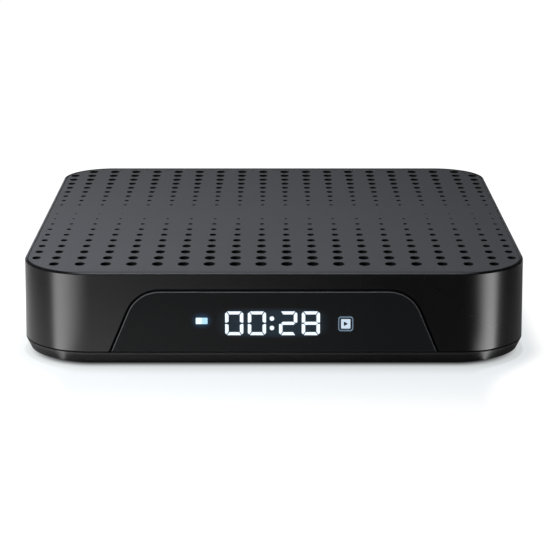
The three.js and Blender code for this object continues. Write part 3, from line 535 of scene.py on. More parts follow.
lid = {
    "seat": 18.1,
    "top": 19.9,
    "inset": 0.89,
    "edge": 0.05,
    "frontRow": -44.3,
    "frontPitch": 5.08,
    "frontRows": 10,
    "rearRow": 47.9,
    "rearPitch": 4.68,
    "rearRows": 9,
    "columnPitch": 5.36,
    "columns": 18,
    "outerColumn": 49.75,
    "widest": 2.3,
    "longer": 1.32,  # the holes are ovals, longer from front to back
    "thinner": 0.2,  # the front field's holes shrink by this share towards the sides
    "rearShare": 0.9,  # and the rear field's are smaller by this share all over
    "smallest": 0.3,
    "fade": 0.6,
    "sideFrom": 22.0,  # beyond this the fields also run on, faintly, through the middle
    "sideShare": 0.09,
    "sewnWithin": 0.002,
    "holeSides": 14,
    "chamferDepth": 0.1,
    "chamferReach": 1.09,  # the chamfer's upper radius, as a share of the hole's
    "hookSpread": 34.0,
    "hookWidth": 6.0,
    "hookSection": ((-47.65, 18.3), (-48.75, 18.3), (-48.75, 16.8),
                    (-49.55, 16.8), (-48.75, 15.5), (-47.65, 15.5)),  # X and Z
    "coatColour": (0.0844, 0.0885, 0.0977),
    "coatRoughness": 0.55,
    "coatSpecular": 0.02,
    "coatGrain": {"grainScale": 4200.0, "grainDepth": 0.5, "shade": 0.16, "dust": 0.04},
    # Near black for the bare plastic, and also painted shade in the holes and along the front seam.
    "bareAndShadeColour": (0.0076, 0.0076, 0.0076, 1.0),
    "levelEnough": 0.9,  # the coat lies on faces that point upwards at least this much
    "seamShadeFront": -51.2,  # painted shade: the coat darkens between these two places near the front edge, where the seam's shadow falls
    "seamShadeBack": -50.2,
    "seamShadeCoatLeft": 0.3,
}


def makeLidFinish():
    # A grey soft coat lies on the top face only; hole walls and edges stay black plastic, and their near
    # black also serves as painted shade inside the holes.
    material = moulded("matteLid", lid["coatColour"], lid["coatRoughness"], **lid["coatGrain"],
                       Specular_IOR_Level=lid["coatSpecular"])
    tree, target, coat = fedColour(material)
    level = separated(tree, makeNode(tree, "ShaderNodeNewGeometry").outputs["True Normal"])[2]
    onTop = mathNode(tree, "GREATER_THAN", level, lid["levelEnough"])
    # Painted shade: the coat darkens in a thin line along the front edge, beside the rim, where the seam's
    # shadow falls.
    kept = smoothRange(tree, separated(tree, objectPlace(tree))[1], lid["seamShadeFront"] * millimetre,
                       lid["seamShadeBack"] * millimetre, lid["seamShadeCoatLeft"], 1.0)
    greyShare = mathNode(tree, "MULTIPLY", onTop, kept)
    feed(tree, target, colourMix(tree, greyShare, lid["bareAndShadeColour"], coat))
    return material


matteLid = makeLidFinish()

# What the lid's node tree takes: each input's name, its kind and its value's name in the settings.
lidInputs = (
    ("Front Row", "Float", "frontRow"), ("Front Pitch", "Float", "frontPitch"),
    ("Front Rows", "Int", "frontRows"), ("Rear Row", "Float", "rearRow"),
    ("Rear Pitch", "Float", "rearPitch"), ("Rear Rows", "Int", "rearRows"),
    ("Column Pitch", "Float", "columnPitch"), ("Columns", "Int", "columns"),
    ("Outer Column", "Float", "outerColumn"), ("Widest", "Float", "widest"), ("Longer", "Float", "longer"),
    ("Thinner", "Float", "thinner"), ("Rear Share", "Float", "rearShare"), ("Smallest", "Float", "smallest"),
    ("Fade", "Float", "fade"), ("Side From", "Float", "sideFrom"), ("Side Share", "Float", "sideShare"),
    ("Bottom", "Float", "seat"), ("Top", "Float", "top"), ("Sewn Within", "Float", "sewnWithin"),
)


def holeSleeve():
    # One hole of unit radius: a tiny chamfer above a straight wall.
    rings = [circle(radius, height, lid["holeSides"]) for radius, height in (
        (1.0, lid["seat"]), (1.0, lid["top"] - lid["chamferDepth"]), (lid["chamferReach"], lid["top"]))]
    piece = meshObject("holeSleeve", *bridge(rings, capped=False))
    piece.data.flip_normals()  # the wall faces the middle of its hole
    return piece


def perforationTree():
    tree, given, end = newTree("perforatedLid", [
        ("Sleeve", "Object", None), ("Finish", "Material", None),
        *[(label, kind, lid[key]) for label, kind, key in lidInputs],
    ])

    def calc(operation, *values):
        return mathNode(tree, operation, *values)

    def field(first, pitch, rows, sign, columns, columnPitch, skip=0):
        # Rows run inwards from the first one, in all columns or, without columns, in the outer two.
        count = calc("SUBTRACT", rows, float(skip)) if skip else rows
        span = calc("MULTIPLY", calc("SUBTRACT", count, 1.0), pitch)
        begin = calc("MULTIPLY_ADD", pitch, float(sign * skip), first)
        middle = calc("MULTIPLY_ADD", span, sign * 0.5, begin)
        grid = makeNode(tree, "GeometryNodeMeshGrid")
        feed(tree, grid.inputs["Size X"],
             calc("MULTIPLY", calc("SUBTRACT", columns, 1.0), columnPitch) if columns else columnPitch)
        feed(tree, grid.inputs["Size Y"], span)
        feed(tree, grid.inputs["Vertices X"], columns or 2)
        feed(tree, grid.inputs["Vertices Y"], count)
        offset = makeNode(tree, "ShaderNodeCombineXYZ", {"Y": middle})
        place = makeNode(tree, "GeometryNodeSetPosition", {"Geometry": grid.outputs["Mesh"],
                                                            "Offset": offset.outputs[0]})
        return place.outputs[0]

    outerSpan = calc("MULTIPLY", given["Outer Column"], 2.0)
    fields = makeNode(tree, "GeometryNodeJoinGeometry")
    for part in (
        field(given["Front Row"], given["Front Pitch"], given["Front Rows"], 1,
              given["Columns"], given["Column Pitch"]),
        field(given["Rear Row"], given["Rear Pitch"], given["Rear Rows"], -1,
              given["Columns"], given["Column Pitch"]),
        field(given["Front Row"], given["Front Pitch"], given["Front Rows"], 1, None, outerSpan, 1),
        field(given["Rear Row"], given["Rear Pitch"], given["Rear Rows"], -1, None, outerSpan, 1),
    ):
        tree.links.new(part, fields.inputs[0])

    # A hole shrinks from its field's outer row towards the middle of the lid.
    x, y, z = separated(tree, makeNode(tree, "GeometryNodeInputPosition").outputs[0])
    middle = calc("MULTIPLY", calc("ADD", given["Front Row"], given["Rear Row"]), 0.5)
    reach = calc("MULTIPLY", calc("SUBTRACT", given["Rear Row"], given["Front Row"]), 0.5)
    share = calc("DIVIDE", calc("ABSOLUTE", calc("SUBTRACT", y, middle)), reach)
    beside = calc("DIVIDE", calc("SUBTRACT", calc("ABSOLUTE", x), given["Side From"]),
                  calc("SUBTRACT", given["Outer Column"], given["Side From"]))
    sideShare = calc("MULTIPLY", calc("MINIMUM", calc("MAXIMUM", beside, 0.0), 1.0), given["Side Share"])
    across = calc("DIVIDE", x, given["Outer Column"])
    inFront = calc("LESS_THAN", y, middle)
    thinned = calc("MULTIPLY", calc("MULTIPLY", given["Thinner"], inFront), calc("MULTIPLY", across, across))
    behind = calc("MULTIPLY", calc("SUBTRACT", 1.0, inFront), calc("SUBTRACT", 1.0, given["Rear Share"]))
    widest = calc("MULTIPLY", given["Widest"], calc("SUBTRACT", 1.0, calc("ADD", thinned, behind)))
    diameter = calc("MULTIPLY", calc("POWER", calc("MAXIMUM", share, sideShare), given["Fade"]), widest)
    tooSmall = makeNode(tree, "FunctionNodeCompare", data_type="FLOAT", operation="LESS_THAN")
    feed(tree, tooSmall.inputs[0], diameter)
    feed(tree, tooSmall.inputs[1], given["Smallest"])
    kept = makeNode(tree, "GeometryNodeDeleteGeometry",
                    {"Geometry": fields.outputs[0], "Selection": tooSmall.outputs[0]}, domain="POINT")
    radius = calc("MULTIPLY", diameter, 0.5)
    scale = makeNode(tree, "ShaderNodeCombineXYZ",
                     {"X": radius, "Y": calc("MULTIPLY", radius, given["Longer"]), "Z": 1.0})
    sleeve = makeNode(tree, "GeometryNodeObjectInfo", {"Object": given["Sleeve"]})
    sleeves = makeNode(tree, "GeometryNodeInstanceOnPoints",
                       {"Points": kept.outputs[0], "Instance": sleeve.outputs["Geometry"],
                        "Scale": scale.outputs[0]})
    walls = makeNode(tree, "GeometryNodeJoinGeometry")
    tree.links.new(given["Geometry"], walls.inputs[0])
    real = makeNode(tree, "GeometryNodeRealizeInstances", {0: sleeves.outputs[0]})
    tree.links.new(real.outputs[0], walls.inputs[0])

    # The rims of edge band and sleeves become curves, and the curves are filled: a sheet full of holes.
    edges = makeNode(tree, "GeometryNodeInputMeshEdgeNeighbors")
    isRim = makeNode(tree, "FunctionNodeCompare", data_type="INT", operation="EQUAL")
    feed(tree, isRim.inputs[2], edges.outputs[0])
    feed(tree, isRim.inputs[3], 1)
    half = calc("MULTIPLY", calc("ADD", given["Bottom"], given["Top"]), 0.5)
    whole = makeNode(tree, "GeometryNodeJoinGeometry")
    tree.links.new(walls.outputs[0], whole.inputs[0])
    for level, operation in ((given["Top"], "GREATER_THAN"), (given["Bottom"], "LESS_THAN")):
        onSide = makeNode(tree, "FunctionNodeCompare", data_type="FLOAT", operation=operation)
        feed(tree, onSide.inputs[0], z)
        feed(tree, onSide.inputs[1], half)
        chosen = makeNode(tree, "FunctionNodeBooleanMath",
                          {0: isRim.outputs[0], 1: onSide.outputs[0]}, operation="AND")
        rims = makeNode(tree, "GeometryNodeMeshToCurve",
                        {"Mesh": walls.outputs[0], "Selection": chosen.outputs[0]})
        sheet = makeNode(tree, "GeometryNodeFillCurve", {"Curve": rims.outputs[0]})
        flat = makeNode(tree, "ShaderNodeCombineXYZ", {"X": x, "Y": y, "Z": level})
        raised = makeNode(tree, "GeometryNodeSetPosition",
                          {"Geometry": sheet.outputs[0], "Position": flat.outputs[0]})
        face = raised.outputs[0]
        if operation == "LESS_THAN":
            face = makeNode(tree, "GeometryNodeFlipFaces", {"Mesh": face}).outputs[0]
        tree.links.new(face, whole.inputs[0])
    sewn = makeNode(tree, "GeometryNodeMergeByDistance",
                    {"Geometry": whole.outputs[0], "Distance": given["Sewn Within"]})
    finish = makeNode(tree, "GeometryNodeSetMaterial",
                      {"Geometry": sewn.outputs[0], "Material": given["Finish"]})
    tree.links.new(finish.outputs[0], end)
    return tree


def makeLid():
    band = bodyLoft("lidPlate", [
        (lid["seat"], lid["inset"]),
        *[(lid["top"] - down, lid["inset"] + inward) for inward, down in roundedEdge(lid["edge"])],
    ], capped=False)
    sleeve = holeSleeve()
    values = {label: lid[key] for label, _, key in lidInputs}
    plate = runTree(band, perforationTree(), {"Sleeve": sleeve, "Finish": matteLid, **values})
    bpy.data.objects.remove(sleeve)
    hooks = []
    for side in range(4):
        for along in (-lid["hookSpread"], lid["hookSpread"]):
            hook = slabAlongY("hook", [(lid["hookSection"], -lid["hookWidth"] / 2),
                                       (lid["hookSection"], lid["hookWidth"] / 2)])
            shifted(hook, 0, along, 0)
            hooks.append(moved(hook, Matrix.Rotation(side * quarterTurn, 4, "Z")))
    combine(plate, merged("hooks", *hooks), "UNION")
    return settle(plate, matteLid, "matte_lid", "top_panel")


makeLid()
print("lid ready")


# The housing with its window recess and its socket mouths.

shell = {
    "wall": 2.05,
    "lidInset": 0.85,
    "rimRound": 0.4,
    "rimInner": 0.04,
    "footRound": 0.15,
    "ledgeInset": 3.65,
    "ledgeFoot": 16.9,
    "bossFoot": 5.0,
    "bossTop": 17.5,
    "bossRadius": 3.2,
    "pilotRadius": 1.45,
    "pilotFoot": 1.0,
    "pilotTop": 12.0,
    "clear": 0.3,  # round every socket
    "rimSteps": 5,
    "rimHighlightDepth": 0.28,  # faces above this depth below the top take the rim's painted highlight
    "cutReach": 2.0,  # cuts start this far outside the walls
    "frontCutEnd": -48.0,
    "eyeRadius": 2.3,
    "mouthRound": 0.7,
    "mouthMiddle": 51.5,
    "mouthDepth": 4.0,
    "roundMouths": {"av_jack": 2.9, "dc_power_jack": 4.5},
    "roundMouthFrom": 47.0,
    "videoSlope": 1.6,
}

window = {
    "footWidth": 66.7,
    "top": 16.1,
    "slant": math.radians(23),
    "shoulder": 7.0,
    "thickness": 0.95,
    "gap": 0.5,
    "bevel": 0.17,
    "arcSteps": 14,
    "flare": 1.05,  # the recess opens out by this much in front of the wall
    "flareFront": -1.0,
    "flareEnd": 0.05,
    "recessFoot": -1.5,
    "recessDepth": 1.0,
    "glueHalf": 36.5,  # the rough glued face lies between these places
    "glueFront": -51.9,
    "glueRear": -49.5,
    "glueTop": 18.0,
}


def middleOf(node):
    low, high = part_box(node)
    return [(a + b) / 2 * perMetre for a, b in zip(low, high)]


def spanOf(node):
    low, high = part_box(node)
    return [a * perMetre for a in low], [b * perMetre for b in high]


def windowOutline(grow, foot):
    top = window["top"] + grow
    shoulder = window["shoulder"] + grow

    def flank(height):
        return (window["footWidth"] / 2 + grow / math.cos(window["slant"])
                - (height - body["foot"]) * math.tan(window["slant"]))

    arcX = flank(top) - shoulder * math.tan((quarterTurn - window["slant"]) / 2)
    right = []
    for step in range(window["arcSteps"] + 1):
        angle = window["slant"] + (quarterTurn - window["slant"]) * step / window["arcSteps"]
        right.append((arcX + shoulder * math.cos(angle), top - shoulder + shoulder * math.sin(angle)))
    left = [(-x, z) for x, z in reversed(right)]
    return [(-flank(foot), foot), (flank(foot), foot), *right, *left]


def leaned(piece):
    # Tipped back as the front wall is.
    for vertex in piece.data.vertices:
        vertex.co.y += leanAt(vertex.co.z)
    return piece


def makeShell():
    rim, steps = shell["rimRound"], shell["rimSteps"]
    levels = [(body["foot"] + up, inward) for inward, up in reversed(roundedEdge(shell["footRound"]))]
    levels[-1] = (levels[-1][0], leanAt(levels[-1][0]))
    for step in range(steps + 1):
        angle = step / steps * quarterTurn
        height = body["top"] - rim * (1 - math.sin(angle))
        levels.append((height, leanAt(height) + rim * (1 - math.cos(angle))))
    levels += [
        (body["top"], shell["lidInset"] - shell["rimInner"]),
        (body["top"] - shell["rimInner"], shell["lidInset"]),
        (lid["seat"], shell["lidInset"]),
        (lid["seat"], shell["ledgeInset"]),
        (shell["ledgeFoot"], shell["ledgeInset"]),
        (shell["ledgeFoot"], shell["wall"]),
        (body["foot"], shell["wall"]),
    ]
    piece = facesOut(bodyLoft("shellWall", levels, closed=True))

    bosses, pilots = [], []
    for corner in cornerNames:
        x, y, _ = middleOf("case_screw_" + corner)
        post = [(shell["bossRadius"], shell["bossFoot"]), (shell["bossRadius"], shell["bossTop"])]
        bore = [(shell["pilotRadius"], shell["pilotFoot"]), (shell["pilotRadius"], shell["pilotTop"])]
        bosses.append(shifted(lathe("boss", post), x, y, 0))
        pilots.append(shifted(lathe("pilot", bore, sidesOf["bore"]), x, y, 0))
    combine(piece, merged("bosses", *bosses), "UNION")
    combine(piece, merged("pilots", *pilots), "DIFFERENCE")

    face, foot = -body["side"] / 2, body["foot"] + window["recessFoot"]
    recess = slabAlongY("recess", [
        (windowOutline(window["gap"] + window["flare"], foot), face + window["flareFront"]),
        (windowOutline(window["gap"], foot), face + window["flareEnd"]),
        (windowOutline(window["gap"], foot), face + window["recessDepth"]),
    ])
    combine(piece, leaned(recess), "DIFFERENCE")
    combine(piece, merged("cuts", *wallCuts()), "DIFFERENCE")
    settle(piece, satinShell, "gloss_shell", "housing")

    # The rim's top faces take the painted highlight, and the recess that the window is glued into is left
    # rough.
    piece.data.materials.append(rimHighlight)
    piece.data.materials.append(recessRough)
    cornerMiddle = (shellLook["cornerFrom"] + shellLook["cornerTo"]) / 2
    for polygon in piece.data.polygons:
        x, y, z = polygon.center * perMetre
        onCorner = abs(x) > cornerMiddle and abs(y) > cornerMiddle
        onGlue = abs(x) < window["glueHalf"] and window["glueFront"] < y < window["glueRear"]
        if z > body["top"] - (rim if onCorner else shell["rimHighlightDepth"]):
            polygon.material_index = 1
        elif onGlue and z < window["glueTop"]:
            polygon.material_index = 2


def wallCuts():
    # The openings for the clock block, the remote's eye and every socket.
    low, high = spanOf("display_module")
    clear, outside, depth = shell["clear"], body["side"] / 2 + shell["cutReach"], shell["mouthDepth"]
    end = shell["frontCutEnd"]
    cuts = [box("cut", (low[0] - clear, -outside, low[2] - clear), (high[0] + clear, end, high[2] + clear))]
    eye, radius = middleOf("ir_receiver"), shell["eyeRadius"] + clear
    eyeBore = lathe("cut", [(radius, -outside), (radius, end)])
    cuts.append(shifted(moved(eyeBore, toRear), eye[0], 0, eye[2]))

    def mouthOf(node, across):
        low, high = spanOf(node)
        if node == "hdmi_shell":
            outline = hdmiOutline(clear)
        else:
            outline = roundedRectangle(high[across] - low[across] + 2 * clear, high[2] - low[2] + 2 * clear,
                                       shell["mouthRound"])
        mouth = slabAlongY("cut", [(outline, -depth), (outline, depth)])
        return mouth, (low[across] + high[across]) / 2, (low[2] + high[2]) / 2

    for node in ("usb_shell_1", "usb_shell_2", "microsd_slot"):
        mouth, along, height = mouthOf(node, 1)
        cuts.append(shifted(moved(mouth, toLeft), -shell["mouthMiddle"], along, height))
    for node in ("hdmi_shell", "ethernet_jack"):
        mouth, along, height = mouthOf(node, 0)
        cuts.append(shifted(mouth, along, shell["mouthMiddle"], height))
    for node, radius in shell["roundMouths"].items():
        middle = middleOf(node)
        bore = lathe("cut", [(radius + clear, shell["roundMouthFrom"]), (radius + clear, outside)],
                     sidesOf["barrel"])
        cuts.append(shifted(moved(bore, toRear), middle[0], 0, middle[2]))
    return cuts


def hdmiOutline(grow):
    # The video sleeve about its own middle, with its two lower corners cut off.
    low, high = spanOf("hdmi_shell")
    width, height = (high[0] - low[0]) / 2 + grow, (high[2] - low[2]) / 2 + grow
    slope = shell["videoSlope"] + grow * math.tan(quarterTurn / 4)
    return [(-width + slope, -height), (width - slope, -height), (width, -height + slope), (width, height),
            (-width, height), (-width, -height + slope)]


makeShell()
print("shell ready")


# The front window and the clock behind it.

windowLook = {
    "finish": {"Colour": (0.06, 0.063, 0.068, 1.0), "Roughness": 0.06, "Grain Scale": 60.0,
               "Grain Depth": 0.01, "Shade": 0.05, "Dust": 0.0},
    "viewportColour": (0.02, 0.02, 0.022),
    "IOR": 1.21,
    "Transmission Weight": 1.0,
    "Emission Color": (0.9, 0.95, 1.0, 1.0),
    "Emission Strength": 0.0065,  # painted light: a faint glow of the smoked plastic, in place of the light its face would scatter
    "bevelHighlightColour": (0.12, 0.125, 0.133),
    "bevelFinish": (0.4, 3000.0, 0.1, 0.1, 0.0),
    "bevelTurned": (0.2, 0.95),  # faces that look forwards by a share between these are the bevel
}


def makeWindow():
    front, bevel = -body["side"] / 2, window["bevel"]
    piece = slabAlongY("clockWindow", [
        *[(windowOutline(-inward, body["foot"] + inward), front + back)
          for inward, back in reversed(roundedEdge(bevel))],
        (windowOutline(0, body["foot"]), front + window["thickness"]),
    ])
    material, tree, principled = newMaterial("smokedWindow", windowLook["viewportColour"])
    finish = makeNode(tree, "ShaderNodeGroup", node_tree=mouldedFinish)
    for label, value in windowLook["finish"].items():
        finish.inputs[label].default_value = value
    feed(tree, principled.inputs["Base Color"], finish.outputs["Colour"])
    feed(tree, principled.inputs["Roughness"], finish.outputs["Roughness"])
    for label in ("IOR", "Transmission Weight", "Emission Color", "Emission Strength"):
        principled.inputs[label].default_value = windowLook[label]
    settle(leaned(piece), material, "smoked_window", "front_window", smoothUnder=40)

    # The bevel all round is left frosted by the mould and painted paler as a highlight, so it shows as a thin
    # pale line.
    frostedHighlight = moulded("frostedBevelHighlight", windowLook["bevelHighlightColour"], *windowLook["bevelFinish"])
    piece.data.materials.append(frostedHighlight)
    least, most = windowLook["bevelTurned"]
    for polygon in piece.data.polygons:
        if least < abs(polygon.normal.y) < most and polygon.center.z > (body["foot"] + bevel) * millimetre:
            polygon.material_index = 1


clock = {
    "shows": "00:28",
    "middle": -0.3,
    "rise": 0.12,
    "height": 5.0,
    "width": 3.72,
    "uprightStroke": 0.7,
    "levelStroke": 0.58,
    "corner": 0.3,
    "joint": 0.17,
    "digitPitch": 4.65,
    "pairPitch": 11.05,
    "colonShift": -0.12,
    "colonDot": 0.9,
    "relief": 0.2,
    "sunk": 0.1,  # how deep the lit figures go into the block
    "colonSpread": 0.2,  # each dot's way from the middle, as a share of the height
    "colonSides": 20,
    "leftIcon": (-14.82, 2.4, 1.28),  # place across, width and height
    "leftIconRise": 0.5,
    "iconRound": 0.12,
    "iconSteps": 3,
    "rightIcon": (14.7, 3.1, 3.1),
    "ringRound": 0.6,
    "ringStroke": 0.45,
    "ringRoundInside": 0.42,
    "tileMargin": (1.2, 1.15),
    "markPoints": ((-0.4, -0.55), (0.55, 0.0), (-0.4, 0.55)),
    "blockRound": 0.25,
}

# A lit part's colour, its strength, and its colour where the resin is thicker.
glows = {
    "litBar": ((0.9, 0.97, 1.0), 19.0, (0.85, 0.95, 1.0)),
    "litLamp": ((0.85, 0.97, 1.0), 19.0, (0.8, 0.95, 1.0)),
    "litRing": ((0.5, 0.68, 0.8), 5.0, (0.4, 0.6, 0.78)),
    "litTile": ((0.85, 0.95, 1.0), 13.0, (0.75, 0.9, 1.0)),
}

displayLook = {
    "black": (0.01, 0.011, 0.013),
    "digitHaze": (0.16, 0.31, 0.43, 1.0),
    "digitReach": (12.0, 3.4),
    "digitPower": 4.0,
    "lampHaze": (0.13, 0.42, 0.8, 1.0),
    "lampReach": (2.5, 2.0),
    "lampPower": 2.0,
    "lampBlue": (0.45, 0.72, 0.88, 1.0),
    "lampBlend": 0.2,
    "resinColour": (0.6, 0.62, 0.66, 1.0),
    # In the pairs below, noise is multiplied by the first number and the second is added.
    "resinScale": 900.0,
    "resinRoughness": (0.2, 0.3),
    "faceScale": 2600.0,
    "faceRoughness": (0.2, 0.4),
    "leakScale": 500.0,
    "leakShare": (0.5, 0.75),
}
unlit = (0.0, 0.0, 0.0, 1.0)

# Bars are lettered clockwise from the top one, and the middle one is g.
litBars = {"0": "abcdef", "2": "abged", "8": "abcdefg"}


def digitBars(middleX, middleZ):
    # Outlines of the seven bars of one digit, drawn for its top right quarter and mirrored.
    x, z = clock["width"] / 2, clock["height"] / 2
    upright, level = clock["uprightStroke"], clock["levelStroke"]
    corner, joint = clock["corner"], clock["joint"]
    side = [(x, z - corner - joint), (x - corner, z - joint), (x - upright, z - level - joint),
            (x - upright, level / 2 + joint / 2), (x - corner, joint), (x, corner - joint / 2)]
    cap = [(corner + joint - x, z), (x - corner - joint, z), (x - upright - joint, z - level),
           (upright + joint - x, z - level)]
    tip, shoulder = x - corner - joint, x - upright - joint / 2
    middleBar = [(-tip, 0), (-shoulder, -level / 2), (shoulder, -level / 2),
                 (tip, 0), (shoulder, level / 2), (-shoulder, level / 2)]

    def placed(points, right=1, up=1):
        return [(middleX + right * a, middleZ + up * b) for a, b in points]

    return {"a": placed(cap), "d": placed(cap, 1, -1), "g": placed(middleBar), "b": placed(side),
            "f": placed(side, -1), "c": placed(side, 1, -1), "e": placed(side, -1, -1)}


def glowMaterial(name):
    # A moulded diffuser lit from behind, a shade cooler where its resin is thicker.
    colour, strength, edge = glows[name]
    material, tree, principled = newMaterial(name, colour)
    cloud = noise(tree, displayLook["resinScale"])
    feed(tree, principled.inputs["Emission Color"], colourMix(tree, cloud, (*colour, 1.0), (*edge, 1.0)))
    rough = mathNode(tree, "MULTIPLY_ADD", cloud, *displayLook["resinRoughness"])
    feed(tree, principled.inputs["Roughness"], rough)
    principled.inputs["Base Color"].default_value = displayLook["resinColour"]
    principled.inputs["Emission Strength"].default_value = strength
    return material


def halo(tree, place, middle, reach, power):
    # One in the middle of a lit figure, falling to zero at its reach; sizes in millimetres.
    parts = []
    for axis, centre, extent in zip((0, 2), middle, reach):
        off = mathNode(tree, "ABSOLUTE", mathNode(tree, "SUBTRACT", place[axis], centre * millimetre))
        parts.append(mathNode(tree, "POWER", mathNode(tree, "DIVIDE", off, extent * millimetre), power))
    return smoothRange(tree, mathNode(tree, "ADD", *parts), 0.0, 1.0, 1.0, 0.0)


def displayFaceMaterial(middleZ):
    # Black face with a faint cold haze where light leaks round the digits.
    material, tree, principled = newMaterial("displayFace", displayLook["black"])
    place = separated(tree, objectPlace(tree))
    cloud = mathNode(tree, "MULTIPLY_ADD", noise(tree, displayLook["leakScale"]), *displayLook["leakShare"])
    around = halo(tree, place, (clock["middle"], middleZ),
                  displayLook["digitReach"], displayLook["digitPower"])
    haze = colourMix(tree, mathNode(tree, "MULTIPLY", around, cloud), unlit, displayLook["digitHaze"])
    beside = halo(tree, place, (clock["leftIcon"][0], middleZ + clock["leftIconRise"]),
                  displayLook["lampReach"], displayLook["lampPower"])
    blue = colourMix(tree, beside, unlit, displayLook["lampHaze"])
    feed(tree, principled.inputs["Emission Color"], colourMix(tree, 1.0, haze, blue, "ADD"))
    principled.inputs["Emission Strength"].default_value = 1.0
    principled.inputs["Base Color"].default_value = (*displayLook["black"], 1.0)
    rough = mathNode(tree, "MULTIPLY_ADD", noise(tree, displayLook["faceScale"]),
                     *displayLook["faceRoughness"])
    feed(tree, principled.inputs["Roughness"], rough)
    return material


def lampMaterial(split):
    # The status lamp: its left half shines white and its right half pale blue.
    material = glowMaterial("litLamp")
    tree, target, white = fedColour(material, "Emission Color")
    x = separated(tree, objectPlace(tree))[0]
    blend = displayLook["lampBlend"]
    onRight = makeNode(tree, "ShaderNodeMapRange", {"Value": x, "From Min": (split - blend) * millimetre,
                                                    "From Max": (split + blend) * millimetre})
    feed(tree, target, colourMix(tree, onRight.outputs[0], white, displayLook["lampBlue"]))
    return material


def makeClock():
    low, high = spanOf("display_module")
    blockMiddle = (low[2] + high[2]) / 2
    middleZ = blockMiddle + clock["rise"]
    face = low[1] + clock["relief"]
    block = box("clockBlock", (low[0], face, low[2]), high, clock["blockRound"])
    faceMaterial = displayFaceMaterial(middleZ)
    settle(block, faceMaterial, "display_block", "display_module")

    def slab(outline):
        return slabAlongY("bar", [(outline, face - clock["relief"]), (outline, face + clock["sunk"])])

    def through(outline):
        return slabAlongY("hole", [(outline, face - 1), (outline, face + 1)])

    def rounded(x, z, width, height, radius, steps=5):
        return [(x + a, z + b) for a, b in roundedRectangle(width, height, radius, steps)]

    middles = [clock["middle"] + pair * clock["pairPitch"] / 2 + one * clock["digitPitch"] / 2
               for pair in (-1, 1) for one in (-1, 1)]
    lit, dark = [], []
    for shown, middle in zip(clock["shows"].replace(":", ""), middles):
        for bar, outline in digitBars(middle, middleZ).items():
            (lit if bar in litBars[shown] else dark).append(slab(outline))
    colonX = clock["middle"] + clock["colonShift"]
    for side in (-1, 1):
        colonZ = middleZ + side * clock["colonSpread"] * clock["height"]
        dot = circle(clock["colonDot"] / 2, 0, clock["colonSides"])
        lit.append(slab([(colonX + a, colonZ + b) for a, b, _ in dot]))
    settle(merged("litBars", *lit), glowMaterial("litBar"), "display_block")
    settle(merged("darkBars", *dark), faceMaterial, "display_block")

    x, width, height = clock["leftIcon"]
    level = middleZ + clock["leftIconRise"]
    lamp = slab(rounded(x, level, width, height, clock["iconRound"], clock["iconSteps"]))
    settle(lamp, lampMaterial(x), "display_block")

    x, width, height = clock["rightIcon"]
    stroke, (aside, above) = clock["ringStroke"], clock["tileMargin"]
    ring = slab(rounded(x, blockMiddle, width, height, clock["ringRound"]))
    inside = rounded(x, blockMiddle, width - stroke, height - stroke, clock["ringRoundInside"])
    combine(ring, through(inside), "DIFFERENCE")
    tile = slab(rounded(x, blockMiddle, width - aside, height - above, clock["iconRound"],
                        clock["iconSteps"]))
    mark = [(x + a, blockMiddle + b) for a, b in clock["markPoints"]]
    combine(tile, through(mark), "DIFFERENCE")
    settle(ring, glowMaterial("litRing"), "display_block")
    settle(tile, glowMaterial("litTile"), "display_block")


makeWindow()
makeClock()
print("window and clock ready")


# Base cover, feet and screws.

base = {
    "bottom": 1.0,
    "taper": 0.9,
    "edge": 0.17,
    "parting": 3.27,
    "floor": 2.6,
    "lipInset": 2.25,
    "lipTop": 4.6,
    "lipThickness": 1.2,
    "postRadius": 3.8,
    "postTop": 5.0,
    "boardPostRadius": 2.6,
    "boardSeat": 3.8,
    "postFoot": 1.8,
    "counterbore": 2.8,
    "counterboreDepth": 2.0,
    "screwBore": 1.6,
    "boardBore": 1.25,
    "boardBoreFoot": 1.9,
    "footRadius": 5.0,
    "footRecess": 0.6,
    "footClear": 0.1,
    "footRounding": ((0.5, 0.0), (0.2, 0.08), (0.04, 0.25), (0.0, 0.5)),  # in from the side, and up
    "slotLength": 24.0,
    "slotWidth": 1.8,
    "slotColumns": 2,
    "slotRows": 9,
    "slotColumnPitch": 30.0,
    "slotRowPitch": 4.4,
    "slotEndSteps": 6,
    "slotEndLess": 0.001,
    "colour": (0.016, 0.016, 0.0167),
    "roughness": 0.42,
    "specular": 0.4,
    "grain": {"grainScale": 4200.0, "grainDepth": 0.35, "shade": 0.12, "dust": 0.0},
    "edgeHighlightColour": (0.036, 0.036, 0.037),
    "edgeHighlightFoot": 0.55,  # the painted highlight strip lies between these depths below the parting line
    "edgeHighlightHead": 0.13,
    "edgeHighlightFootBlend": 0.05,
    "edgeHighlightHeadBlend": 0.02,
}


def makeBaseFinish():
    # The upper edge is painted a little paler as a highlight, and shows as a thin line below the wall.
    material = moulded("satinBase", base["colour"], base["roughness"], **base["grain"],
                       Specular_IOR_Level=base["specular"])
    tree, target, plain = fedColour(material)
    height = separated(tree, objectPlace(tree))[2]

    def edgeAt(level, blend, low, high):
        return smoothRange(tree, height, (level - blend) * millimetre, (level + blend) * millimetre,
                           low, high)

    above = edgeAt(base["parting"] - base["edgeHighlightFoot"], base["edgeHighlightFootBlend"], 0.0, 1.0)
    below = edgeAt(base["parting"] - base["edgeHighlightHead"], base["edgeHighlightHeadBlend"], 1.0, 0.0)
    edgeHighlight = mathNode(tree, "MULTIPLY", above, below)
    feed(tree, target, colourMix(tree, edgeHighlight, plain, (*base["edgeHighlightColour"], 1.0)))
    return material


satinBase = makeBaseFinish()
slotInputs = (
    ("Columns", "Int", "slotColumns"), ("Rows", "Int", "slotRows"),
    ("Column Pitch", "Float", "slotColumnPitch"), ("Row Pitch", "Float", "slotRowPitch"),
)


